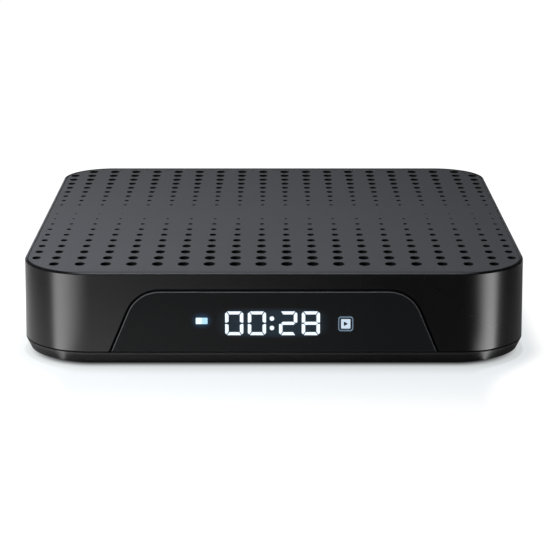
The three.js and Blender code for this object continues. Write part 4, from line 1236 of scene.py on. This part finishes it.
def slotTree():
    # A grid of copies of one slot.
    tree, given, end = newTree("ventSlots", [
        ("Slot", "Object", None), ("Finish", "Material", None),
        *[(label, kind, base[key]) for label, kind, key in slotInputs],
    ])

    def span(count, pitch):
        return mathNode(tree, "MULTIPLY", mathNode(tree, "SUBTRACT", count, 1.0), pitch)

    grid = makeNode(tree, "GeometryNodeMeshGrid", {
        "Size X": span(given["Columns"], given["Column Pitch"]),
        "Size Y": span(given["Rows"], given["Row Pitch"]),
        "Vertices X": given["Columns"],
        "Vertices Y": given["Rows"],
    })
    tree.links.new(copiesAt(tree, grid.outputs["Mesh"], given["Slot"], given["Finish"]), end)
    return tree


def copiesTree():
    # Copies of one fastener or foot at the points of a mesh.
    tree, given, end = newTree("fastenerCopies", [("Piece", "Object", None), ("Finish", "Material", None)])
    tree.links.new(copiesAt(tree, given["Geometry"], given["Piece"], given["Finish"]), end)
    return tree


fastenerCopies = copiesTree()


def copiesOf(name, piece, places, finish):
    points = meshObject(name, places, [])
    runTree(points, fastenerCopies, {"Piece": piece, "Finish": finish})
    bpy.data.objects.remove(piece)
    return points


def cornerPoints(prefix, height):
    return [(*middleOf(prefix + corner)[:2], height) for corner in cornerNames]


def rods(places, radius, low, high, sides=sidesOf["plain"]):
    return copiesOf("rods", lathe("rod", [(radius, low), (radius, high)], sides), places, satinBase)


def makeBase():
    edge, inner = base["edge"], base["lipInset"]
    hollow = inner + base["lipThickness"]
    bottom, parting = base["bottom"], base["parting"]
    piece = facesOut(bodyLoft("basePan", [
        *[(bottom + up, base["taper"] + inward) for inward, up in reversed(roundedEdge(edge))],
        *[(parting - down, inward) for inward, down in roundedEdge(edge)],
        (parting, inner), (base["lipTop"], inner), (base["lipTop"], hollow), (base["floor"], hollow),
    ]))
    screws = cornerPoints("case_screw_", 0)
    boards = cornerPoints("board_screw_", 0)
    feet = cornerPoints("foot_", 0)
    combine(piece, rods(boards, base["boardPostRadius"], base["postFoot"], base["boardSeat"]), "UNION")
    # The screw posts are cut back to the inside of the lip before they join the pan.
    posts = rods(screws, base["postRadius"], base["postFoot"], base["postTop"])
    room = facesOut(bodyLoft("room", [(bottom + 0.5, inner), (base["postTop"] + 1, inner)]))
    combine(piece, combine(posts, room, "INTERSECT"), "UNION")
    below = bottom - 1
    for hole in (
        rods(screws, base["counterbore"], below, bottom + base["counterboreDepth"]),
        rods(screws, base["screwBore"], below, base["postTop"] + 1, sidesOf["bore"]),
        rods(boards, base["boardBore"], base["boardBoreFoot"], base["boardSeat"] + 1, sidesOf["bore"]),
        rods(feet, base["footRadius"] + base["footClear"], below, bottom + base["footRecess"],
             sidesOf["foot"]),
    ):
        combine(piece, hole, "DIFFERENCE")
    # A little less than half round at the ends, so that no two corners of a slot fall together.
    endRadius = base["slotWidth"] / 2 - base["slotEndLess"]
    outline = roundedRectangle(base["slotLength"], base["slotWidth"], endRadius, base["slotEndSteps"])
    slot = meshObject("slot", *bridge([[(x, y, z) for x, y in outline] for z in (below, base["floor"] + 1)]))
    slots = meshObject("slots", [(0, 0, 0)], [])
    values = {label: base[key] for label, _, key in slotInputs}
    runTree(slots, slotTree(), {"Slot": slot, "Finish": satinBase, **values})
    bpy.data.objects.remove(slot)
    combine(piece, slots, "DIFFERENCE")
    return settle(piece, satinBase, "base_plastic", "base_cover")


def makeFeet():
    radius, top = base["footRadius"], base["bottom"] + base["footRecess"]
    sole = [(radius - inward, up) for inward, up in base["footRounding"]]
    disc = lathe("foot", [(onAxis, 0.0), *sole, (radius, top), (onAxis, top)], sidesOf["foot"])
    feet = copiesOf("rubberFeet", disc, cornerPoints("foot_", 0), blackRubber)
    return settle(feet, blackRubber, "rubber", *["foot_" + corner for corner in cornerNames])


# Head radius, head height, shank radius, length and the height of the head's seat.
screwSizes = {
    "caseScrews": (2.5, 1.6, 1.3, 8.0, 3.0),
    "boardScrews": (2.3, 1.4, 1.1, 3.4, 5.4),
}
screwDetail = {
    "tip": (0.3, 0.6),
    "headRounding": ((0.0, 0.5), (0.12, 0.2), (0.4, 0.0)),  # in from the side, and down
    "crossShare": 0.6,  # the cross recess's reach, as a share of the head's radius
    "crossHalf": 0.3,
    "crossDepth": 0.8,
}


def screwForm(head, headHeight, shank, length):
    # Head up, with the seat of the head at height zero and a cross recess.
    tipWidth, tipLength = screwDetail["tip"]
    crown = [(head - inward, headHeight - down) for inward, down in screwDetail["headRounding"]]
    form = lathe("screw", [
        (onAxis, -length), (shank - tipWidth, -length), (shank, -length + tipLength), (shank, 0), (head, 0),
        *crown, (onAxis, headHeight),
    ], sidesOf["small"])
    reach, half = head * screwDetail["crossShare"], screwDetail["crossHalf"]
    for turn in (0, quarterTurn):
        arm = box("arm", (-reach, -half, headHeight - screwDetail["crossDepth"]),
                  (reach, half, headHeight + 1))
        combine(form, moved(arm, Matrix.Rotation(turn, 4, "Z")), "DIFFERENCE")
    return form


def makeScrews():
    for name, prefix, turn in (("caseScrews", "case_screw_", math.pi), ("boardScrews", "board_screw_", 0)):
        *sizes, seat = screwSizes[name]
        form = screwForm(*sizes)
        if turn:
            moved(form, Matrix.Rotation(turn, 4, "X"))
        copies = copiesOf(name, form, cornerPoints(prefix, seat), blackZinc)
        settle(copies, blackZinc, "screw_steel", *[prefix + corner for corner in cornerNames])


makeBase()
makeFeet()
makeScrews()
print("base, feet and screws ready")


# Sockets at the back and on the left.

socket = {
    "sheet": 0.4,
    "lip": (0.08, 0.1),  # how far the sleeves' mouths are rounded, inwards and back
    "dataRound": 0.9,
    "dataRoundInside": 0.5,
    "stripPlaces": (-3.5, -1.0, 1.0, 3.5),
    "stripHalf": 0.5,
    "stripReach": (1.6, 9.0),
    "stripLevel": (2.84, 2.72),
    "videoSheet": 0.5,
    "networkRound": 0.5,
    "networkLip": 0.15,
    "networkLipRound": 0.4,
    "networkRoom": (13.4, 9.9),
    "networkRoomRound": (0.3, 3),  # radius, and steps of each corner
    "networkRoomDepth": 14.0,
    "networkRoomRise": 5.3,
    "networkClear": 0.04,
    "networkSet": (13.95, 0.5),
    "networkFoot": 2.9,
    "networkBore": 12.5,
    "networkSteps": ((5.9, 0.0, 7.0), (3.1, -1.4, 0.1), (1.7, -2.5, -1.3)),  # half width, foot and head
    "caseRound": 0.2,
    "soundSetBack": 3.0,
    "soundRise": 3.0,
    "soundBarrel": (2.9, 2.7, 0.2),  # radius, radius at the mouth, and length of that chamfer
    "soundBarrelFrom": 3.0,
    "soundBore": (1.8, 2.6, 0.25, 0.55),
    "powerFace": 50.15,
    "powerRise": 4.8,
    "powerDepth": 9.0,
    "powerCollar": (4.5, 4.2, 0.3),
    "powerBore": (2.9, 3.9, 0.3, 0.7),
    "powerPin": ((1.0, 9.0), (1.0, 1.2), (0.85, 0.8), (0.5, 0.6)),  # radius, and depth behind the mouth
}


def sleeveAlongY(name, outer, inner, front, rear):
    # A sheet sleeve that is open at both ends.
    inwards, back = socket["lip"]
    rings = [[(x, y, z) for x, z in outline] for outline, y in (
        (outer, front), (outer, rear - back), (shrunk(outer, inwards), rear), (inner, rear), (inner, front))]
    return facesOut(meshObject(name, *bridge(rings, closed=True)))


def shrunk(outline, amount):
    reachX = max(abs(x) for x, _ in outline)
    reachZ = max(abs(z) for _, z in outline)
    return [(x * (1 - amount / reachX), z * (1 - amount / reachZ)) for x, z in outline]


def makeDataSockets():
    sheet, half = socket["sheet"], socket["stripHalf"]
    begin, end = socket["stripReach"]
    under, over = socket["stripLevel"]
    for number in ("1", "2"):
        node = "usb_shell_" + number
        (low, high), middle = spanOf(node), middleOf(node)
        width, height, depth = high[1] - low[1], high[2] - low[2], high[0] - low[0]
        outer = roundedRectangle(width, height, socket["dataRound"])
        inner = roundedRectangle(width - 2 * sheet, height - 2 * sheet, socket["dataRoundInside"])
        sleeve = moved(sleeveAlongY("dataSleeve" + number, outer, inner, 0, depth), toLeft)
        shifted(sleeve, high[0], middle[1], middle[2])
        settle(sleeve, tinSheet, "socket_metal", node)
        strips = []
        for place in socket["stripPlaces"]:
            strips.append(box("strip", (low[0] + begin, middle[1] + place - half, high[2] - under),
                              (low[0] + end, middle[1] + place + half, high[2] - over)))
        settle(merged("dataContacts" + number, *strips), contactGold, "contact_comb")


def makeVideoSocket():
    (low, high), middle = spanOf("hdmi_shell"), middleOf("hdmi_shell")
    sleeve = sleeveAlongY("videoSleeve", hdmiOutline(0), hdmiOutline(-socket["videoSheet"]), low[1], high[1])
    shifted(sleeve, middle[0], 0, middle[2])
    settle(sleeve, tinSheet, "socket_metal", "hdmi_shell", smoothUnder=20)


def makeNetworkSocket():
    (low, high), middle = spanOf("ethernet_jack"), middleOf("ethernet_jack")
    width, height, rear = high[0] - low[0], high[2] - low[2], high[1]
    lip, outer = socket["networkLip"], roundedRectangle(width, height, socket["networkRound"])
    shield = slabAlongY("networkShield", [
        (outer, low[1]), (outer, rear - lip),
        (roundedRectangle(width - 2 * lip, height - 2 * lip, socket["networkLipRound"]), rear),
    ])
    shifted(shield, middle[0], 0, middle[2])
    room = roundedRectangle(*socket["networkRoom"], *socket["networkRoomRound"])
    mouth = slabAlongY("mouth", [(room, rear - socket["networkRoomDepth"]), (room, rear + 1)])
    roomMiddle = low[2] + socket["networkRoomRise"]
    combine(shield, shifted(mouth, middle[0], 0, roomMiddle), "DIFFERENCE")
    settle(shield, tinSheet, "socket_metal", "ethernet_jack")

    width, height = [size - socket["networkClear"] for size in socket["networkRoom"]]
    filled = roundedRectangle(width, height, *socket["networkRoomRound"])
    filler = slabAlongY("networkMoulding", [(filled, rear - depth) for depth in socket["networkSet"]])
    shifted(filler, middle[0], 0, roomMiddle)
    foot = low[2] + socket["networkFoot"]
    for half, under, over in socket["networkSteps"]:
        step = box("step", (middle[0] - half, rear - socket["networkBore"], foot + under),
                   (middle[0] + half, rear + 1, foot + over))
        combine(filler, step, "DIFFERENCE")
    settle(filler, socketBlack, "socket_moulding")


def makeSoundSocket():
    (low, high), middle = spanOf("av_jack"), middleOf("av_jack")
    jack = box("soundJack", low, (high[0], high[1] - socket["soundSetBack"], high[2]), socket["caseRound"])
    centre = (middle[0], 0, low[2] + socket["soundRise"])
    radius, mouth, chamfer = socket["soundBarrel"]
    side = [(radius, low[1] + socket["soundBarrelFrom"]), (radius, high[1] - chamfer), (mouth, high[1])]
    barrel = lathe("barrel", side, sidesOf["barrel"])
    combine(jack, shifted(moved(barrel, toRear), *centre), "UNION")
    radius, mouth, inside, beyond = socket["soundBore"]
    bore = lathe("bore", [(radius, low[1] - 1), (radius, high[1] - inside), (mouth, high[1] + beyond)])
    combine(jack, shifted(moved(bore, toRear), *centre), "DIFFERENCE")
    settle(jack, socketBlack, "socket_moulding", "av_jack")


def makePowerSocket():
    (low, high), middle = spanOf("dc_power_jack"), middleOf("dc_power_jack")
    jack = box("powerJack", low, (high[0], socket["powerFace"], high[2]), socket["caseRound"])
    centre = (middle[0], 0, low[2] + socket["powerRise"])
    rear, floor = high[1], high[1] - socket["powerDepth"]
    radius, mouth, chamfer = socket["powerCollar"]
    collar = lathe("collar", [(radius, floor), (radius, rear - chamfer), (mouth, rear)], sidesOf["collar"])
    combine(jack, shifted(moved(collar, toRear), *centre), "UNION")
    radius, mouth, inside, beyond = socket["powerBore"]
    bore = lathe("bore", [(radius, floor), (radius, rear - inside), (mouth, rear + beyond)],
                 sidesOf["barrel"])
    combine(jack, shifted(moved(bore, toRear), *centre), "DIFFERENCE")
    settle(jack, socketBlack, "socket_moulding", "dc_power_jack")
    side = [(radius, rear - depth) for radius, depth in socket["powerPin"]]
    pin = lathe("powerPin", [(onAxis, side[0][1]), *side, (onAxis, side[-1][1])], sidesOf["small"])
    settle(shifted(moved(pin, toRear), *centre), tinSheet, "socket_metal", "dc_centre_pin")


makeDataSockets()
makeVideoSocket()
makeNetworkSocket()
makeSoundSocket()
makePowerSocket()
print("sockets ready")


# Inner pieces that keep their CAD meshes.

boardLook = {
    "colour": (0.01, 0.06, 0.035),
    "tracks": {"Scale": 160.0, "Mortar Size": 0.06, "Color1": (0.008, 0.05, 0.03, 1.0),
               "Color2": (0.01, 0.062, 0.036, 1.0), "Mortar": (0.02, 0.11, 0.06, 1.0)},
    "pads": {"Scale": 320.0, "Randomness": 0.6},
    "padEdge": {"From Min": 0.12, "From Max": 0.15, "To Min": 1.0, "To Max": 0.0},
    "padColour": (0.55, 0.54, 0.5, 1.0),
    "maskScale": 300.0,
    "maskRoughness": (0.2, 0.3),  # noise times the first, plus the second
}


def boardMaterial():
    # Green solder mask over a web of tracks, with tinned pads.
    material, tree, principled = newMaterial("solderMask", boardLook["colour"])
    place = objectPlace(tree)
    tracks = makeNode(tree, "ShaderNodeTexBrick", {"Vector": place, **boardLook["tracks"]})
    dots = makeNode(tree, "ShaderNodeTexVoronoi", {"Vector": place, **boardLook["pads"]})
    pads = makeNode(tree, "ShaderNodeMapRange", {"Value": dots.outputs["Distance"], **boardLook["padEdge"]})
    feed(tree, principled.inputs["Base Color"],
         colourMix(tree, pads.outputs[0], tracks.outputs["Color"], boardLook["padColour"]))
    feed(tree, principled.inputs["Metallic"], pads.outputs[0])
    rough = mathNode(tree, "MULTIPLY_ADD", noise(tree, boardLook["maskScale"]), *boardLook["maskRoughness"])
    feed(tree, principled.inputs["Roughness"], rough)
    return material


solderMask = boardMaterial()
keptNodes = {
    "main_board": solderMask,
    "display_board": solderMask,
    "ir_receiver": socketBlack,
    "soc_chip": chipEpoxy,
    "memory_chip_1": chipEpoxy,
    "memory_chip_2": chipEpoxy,
    "flash_chip": chipEpoxy,
    "power_choke": chipEpoxy,
    "thermal_pad": siliconePad,
    "heatsink": drawnAluminium,
    "input_capacitor": drawnAluminium,
    "wifi_module": tinSheet,
    "antenna": copperTrack,
    "antenna_lead": leadJacket,
    "hdmi_insert": socketBlack,
    "usb_insert_1": socketBlack,
    "usb_insert_2": socketBlack,
    "microsd_slot": tinSheet,
    "ethernet_contacts": contactGold,
    "recovery_switch": socketBlack,
    "recovery_button": buttonRed,
}
for node, material in keptNodes.items():
    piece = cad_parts[node]
    piece.data.materials.clear()
    piece.data.materials.append(material)
print("inner pieces dressed")


# Floor, light and camera.

studio = {
    "floorColour": (0.85, 0.85, 0.85),
    "floorSeen": (0.19, 0.19, 0.19),  # the share of the floor's white that shadows can take from the camera
    "nearLift": (0.6, 0.62, 0.63),  # the rest is light that only the camera sees
    "middleLift": (0.73, 0.76, 0.78),
    "farLift": (1.0, 1.0, 1.0),
    "floorHalf": 6.0,
    # Where the three lifts set in, by the distance from the box in metres; the lower lifts close to the box
    # paint a soft shadow round it.
    "nearBand": (-0.0041, -0.0003),
    "middleBand": (-0.0004, 0.0056),
    "farBand": (0.0056, 0.048),
    "shadowShorter": 8.0,  # the painted soft shadow beside and behind the box is this much shorter than ahead of it
    "worldLight": 0.079,
    "worldMirror": 0.12,
    "horizonMirror": 0.28,
    "horizon": (0.3, 0.6),
}

# What glossy faces see in the floor: strengths, with places in metres and angles in degrees.
mirror = {
    "left": 1.65,
    "right": 0.1,
    "besideLeft": 0.75,
    "besideRight": 0.2,
    "card": 6.0,
    "slope": (-0.08, 0.025),  # the glow ahead of the box falls from left to right between these places
    "aheadDepth": (-0.046, -0.03),
    "aheadWidth": (0.04, 0.057),
    "aheadAngles": (20, 80),
    "sides": (-0.05, 0.05),  # left turns to right between these places
    "cardCorner": (0.044, 0.050, 0),  # the corner that the cards' angles are counted from
    "cardEdge": 7,
    "cardFull": 29,  # from this angle on a card fades
    "cardBegin": (18, 14),  # left and right
    "cardTail": (88, 58),
    "cardShare": (0.92, 1.22),
    "cardWidened": 40,
    "widenedWithin": (0.002, 0.03),
    "fall": (0.005, 0.09, 0.4),
    "contact": (-0.001, 0.006),
    "contactDark": (0.45, 0.07),  # beside the box and ahead of it
}
glowInputs = (("Left", "left"), ("Right", "right"), ("Beside Left", "besideLeft"),
              ("Beside Right", "besideRight"), ("Card", "card"))


def makeFloorGlow():
    # What the floor shows: how far a place is from the box, and what glossy faces see there.
    tree, given, made = shaderGroup(
        "floorGlow",
        [(label, mirror[key]) for label, key in glowInputs],
        [("Distance", "Float"), ("Ahead", "Float"), ("Mirror", "Float")],
    )

    def calc(operation, *values):
        return mathNode(tree, operation, *values)

    def eitherSide(pair, turn=1.0):
        # The left value, which becomes the right one across the box.
        left, right = pair
        return calc("MULTIPLY_ADD", onRight, (right - left) * turn, left * turn)

    place = objectPlace(tree)
    size = vectorMath(tree, "ABSOLUTE", place)
    half, radius = body["side"] / 2 * millimetre, body["frontRadius"] * millimetre
    corner = vectorMath(tree, "SUBTRACT", size, (half - radius, half - radius, 0))
    outside = vectorMath(tree, "MAXIMUM", corner, (0, 0, 0))
    length = makeNode(tree, "ShaderNodeVectorMath", {0: outside}, operation="LENGTH").outputs["Value"]
    distance = calc("SUBTRACT", length, radius)
    feed(tree, made["Distance"], distance)
    across, depth = list(separated(tree, place))[:2]
    aside = separated(tree, size)[0]
    inFront = calc("MULTIPLY", smoothRange(tree, depth, *mirror["aheadDepth"], 1.0, 0.0),
                   smoothRange(tree, aside, *mirror["aheadWidth"], 1.0, 0.0))
    feed(tree, made["Ahead"], inFront)

    # A pale card lies off each corner: it makes the soft upright highlights there.
    degree = math.radians(1)
    fromCorner = separated(tree, vectorMath(tree, "SUBTRACT", size, mirror["cardCorner"]))
    angle = calc("ARCTAN2", fromCorner[1], fromCorner[0])
    onRight = smoothRange(tree, across, *mirror["sides"])
    begin = eitherSide(mirror["cardBegin"], degree)
    full = calc("ADD", begin, mirror["cardEdge"] * degree)
    # The right card's band widens towards its foot.
    widened = calc("MULTIPLY", onRight,
                   smoothRange(tree, distance, *mirror["widenedWithin"], mirror["cardWidened"] * degree, 0.0))
    tail = calc("ADD", eitherSide(mirror["cardTail"], degree), widened)
    card = calc("MULTIPLY", smoothRange(tree, angle, begin, full),
                smoothRange(tree, angle, mirror["cardFull"] * degree, tail, 1.0, 0.0))
    cardLight = calc("MULTIPLY", given["Card"], eitherSide(mirror["cardShare"]))

    # Apart from the cards, the floor glows less to the right, farther off, and close to the box.
    slope = makeNode(tree, "ShaderNodeMapRange", {
        "Value": across, "From Min": mirror["slope"][0], "From Max": mirror["slope"][1],
        "To Min": given["Left"], "To Max": given["Right"],
    })
    besideLeft = calc("MULTIPLY", calc("SUBTRACT", 1.0, onRight), given["Beside Left"])
    beside = calc("MULTIPLY_ADD", onRight, given["Beside Right"], besideLeft)
    ahead = smoothRange(tree, angle, *[limit * degree for limit in mirror["aheadAngles"]])
    level = calc("MULTIPLY_ADD", ahead, calc("SUBTRACT", slope.outputs[0], beside), beside)
    near, far, least = mirror["fall"]
    fall = smoothRange(tree, distance, near, far, 1.0, least)
    darkBeside, darkAhead = mirror["contactDark"]
    dark = calc("MULTIPLY_ADD", inFront, darkAhead - darkBeside, darkBeside)
    contact = smoothRange(tree, distance, *mirror["contact"], dark, 1.0)
    shade = calc("MULTIPLY", calc("MULTIPLY", level, fall), contact)
    feed(tree, made["Mirror"], calc("MULTIPLY_ADD", card, cardLight, shade))
    return tree


def makeFloor():
    half = studio["floorHalf"]
    corners = [(-half, -half, 0), (half, -half, 0), (half, half, 0), (-half, half, 0)]
    floor = meshObject("floor", corners, [(0, 1, 2, 3)])
    material = bpy.data.materials.new("paleFloor")
    material.use_nodes = True
    tree = material.node_tree
    tree.nodes.clear()
    out = tree.nodes.new("ShaderNodeOutputMaterial")
    ray = tree.nodes.new("ShaderNodeLightPath")
    tone = colourMix(tree, ray.outputs["Is Camera Ray"], (*studio["floorColour"], 1.0),
                     (*studio["floorSeen"], 1.0))
    paper = makeNode(tree, "ShaderNodeBsdfDiffuse", {"Color": tone})
    glow = makeNode(tree, "ShaderNodeGroup", node_tree=makeFloorGlow())
    for label, key in glowInputs:
        glow.inputs[label].default_value = mirror[key]
    shorter = studio["shadowShorter"]
    stretch = mathNode(tree, "MULTIPLY_ADD", glow.outputs["Ahead"], 1.0 - shorter, shorter)
    away = mathNode(tree, "MAXIMUM", glow.outputs["Distance"],
                    mathNode(tree, "MULTIPLY", glow.outputs["Distance"], stretch))
    # The camera-only lift grows with distance from the box, which paints a soft shadow round it.
    lift = unlit
    for part in ("near", "middle", "far"):
        share = smoothRange(tree, away, *studio[part + "Band"])
        lift = colourMix(tree, share, lift, (*studio[part + "Lift"], 1.0))
    raised = makeNode(tree, "ShaderNodeEmission", {"Color": lift, "Strength": ray.outputs["Is Camera Ray"]})
    seen = makeNode(tree, "ShaderNodeAddShader", {0: paper.outputs[0], 1: raised.outputs[0]})
    mirrored = makeNode(tree, "ShaderNodeEmission", {"Strength": glow.outputs["Mirror"]})
    pick = makeNode(tree, "ShaderNodeMixShader", {0: ray.outputs["Is Glossy Ray"], 1: seen.outputs[0],
                                                  2: mirrored.outputs[0]})
    # From below the floor lets the camera through, so that the underside can be looked at.
    clear = makeNode(tree, "ShaderNodeBsdfTransparent")
    under = mathNode(tree, "MULTIPLY", makeNode(tree, "ShaderNodeNewGeometry").outputs["Backfacing"],
                     ray.outputs["Is Camera Ray"])
    sides = makeNode(tree, "ShaderNodeMixShader", {0: under, 1: pick.outputs[0], 2: clear.outputs[0]})
    tree.links.new(sides.outputs[0], out.inputs[0])
    floor.data.materials.append(material)


def makeWorld():
    world = bpy.data.worlds.new("studio")
    bpy.context.scene.world = world
    world.use_nodes = True
    tree = world.node_tree
    tree.nodes.clear()
    out = tree.nodes.new("ShaderNodeOutputWorld")
    ray = tree.nodes.new("ShaderNodeLightPath")
    height = separated(tree, makeNode(tree, "ShaderNodeTexCoord").outputs["Generated"])[2]
    glossy = smoothRange(tree, height, *studio["horizon"], studio["horizonMirror"], studio["worldMirror"])
    mirrored = mathNode(tree, "MULTIPLY", ray.outputs["Is Glossy Ray"],
                        mathNode(tree, "SUBTRACT", glossy, studio["worldLight"]))
    soft = makeNode(tree, "ShaderNodeBackground", {
        "Color": (1, 1, 1, 1), "Strength": mathNode(tree, "ADD", mirrored, studio["worldLight"])})
    white = makeNode(tree, "ShaderNodeBackground", {"Color": (1, 1, 1, 1), "Strength": 1.0})
    seen = mathNode(tree, "MAXIMUM", ray.outputs["Is Camera Ray"], ray.outputs["Is Transmission Ray"])
    pick = makeNode(tree, "ShaderNodeMixShader", {0: seen, 1: soft.outputs[0], 2: white.outputs[0]})
    tree.links.new(pick.outputs[0], out.inputs[0])


lamps = {
    "keyLight": {"place": (-0.14, -0.06, 0.16), "target": (-0.02, 0, 0.02), "size": (0.2, 0.2),
                 "power": 0.592, "mirrored": False},
    "overheadLight": {"place": (0.0, -0.14, 0.74), "target": (0, 0, 0.01), "size": (0.5, 0.18),
                      "power": 0.237, "mirrored": True},
}

camera = {
    "frame": 560,  # the photograph's width in pixels; focal length and shift are in pixels too
    "focal": 1923.8,
    "shift": 6,
    "sensor": 36.0,
    "place": (0, -0.4294, 0.12043),
    "lookingDown": 15.11,
    "sees": (0.01, 20.0),
}


def makeLights():
    for name, lamp in lamps.items():
        light = bpy.data.lights.new(name, "AREA")
        light.shape = "RECTANGLE"
        light.size, light.size_y = lamp["size"]
        light.energy = lamp["power"]
        holder = bpy.data.objects.new(name, light)
        holder.location = lamp["place"]
        aim = Vector(lamp["target"]) - Vector(lamp["place"])
        holder.rotation_euler = aim.to_track_quat("-Z", "Y").to_euler()
        holder.visible_camera = False
        holder.visible_glossy = lamp["mirrored"]
        bpy.context.scene.collection.objects.link(holder)


def makeCamera():
    lens = bpy.data.cameras.new("camera")
    lens.sensor_width = camera["sensor"]
    lens.lens = camera["focal"] / camera["frame"] * camera["sensor"]
    lens.shift_x = camera["shift"] / camera["frame"]
    lens.clip_start, lens.clip_end = camera["sees"]
    holder = bpy.data.objects.new("camera", lens)
    holder.location = camera["place"]
    holder.rotation_euler = (math.radians(90 - camera["lookingDown"]), 0, 0)
    bpy.context.scene.collection.objects.link(holder)
    bpy.context.scene.camera = holder


makeFloor()
makeWorld()
makeLights()
makeCamera()
bpy.context.scene.view_settings.view_transform = "Standard"
print("studio ready")
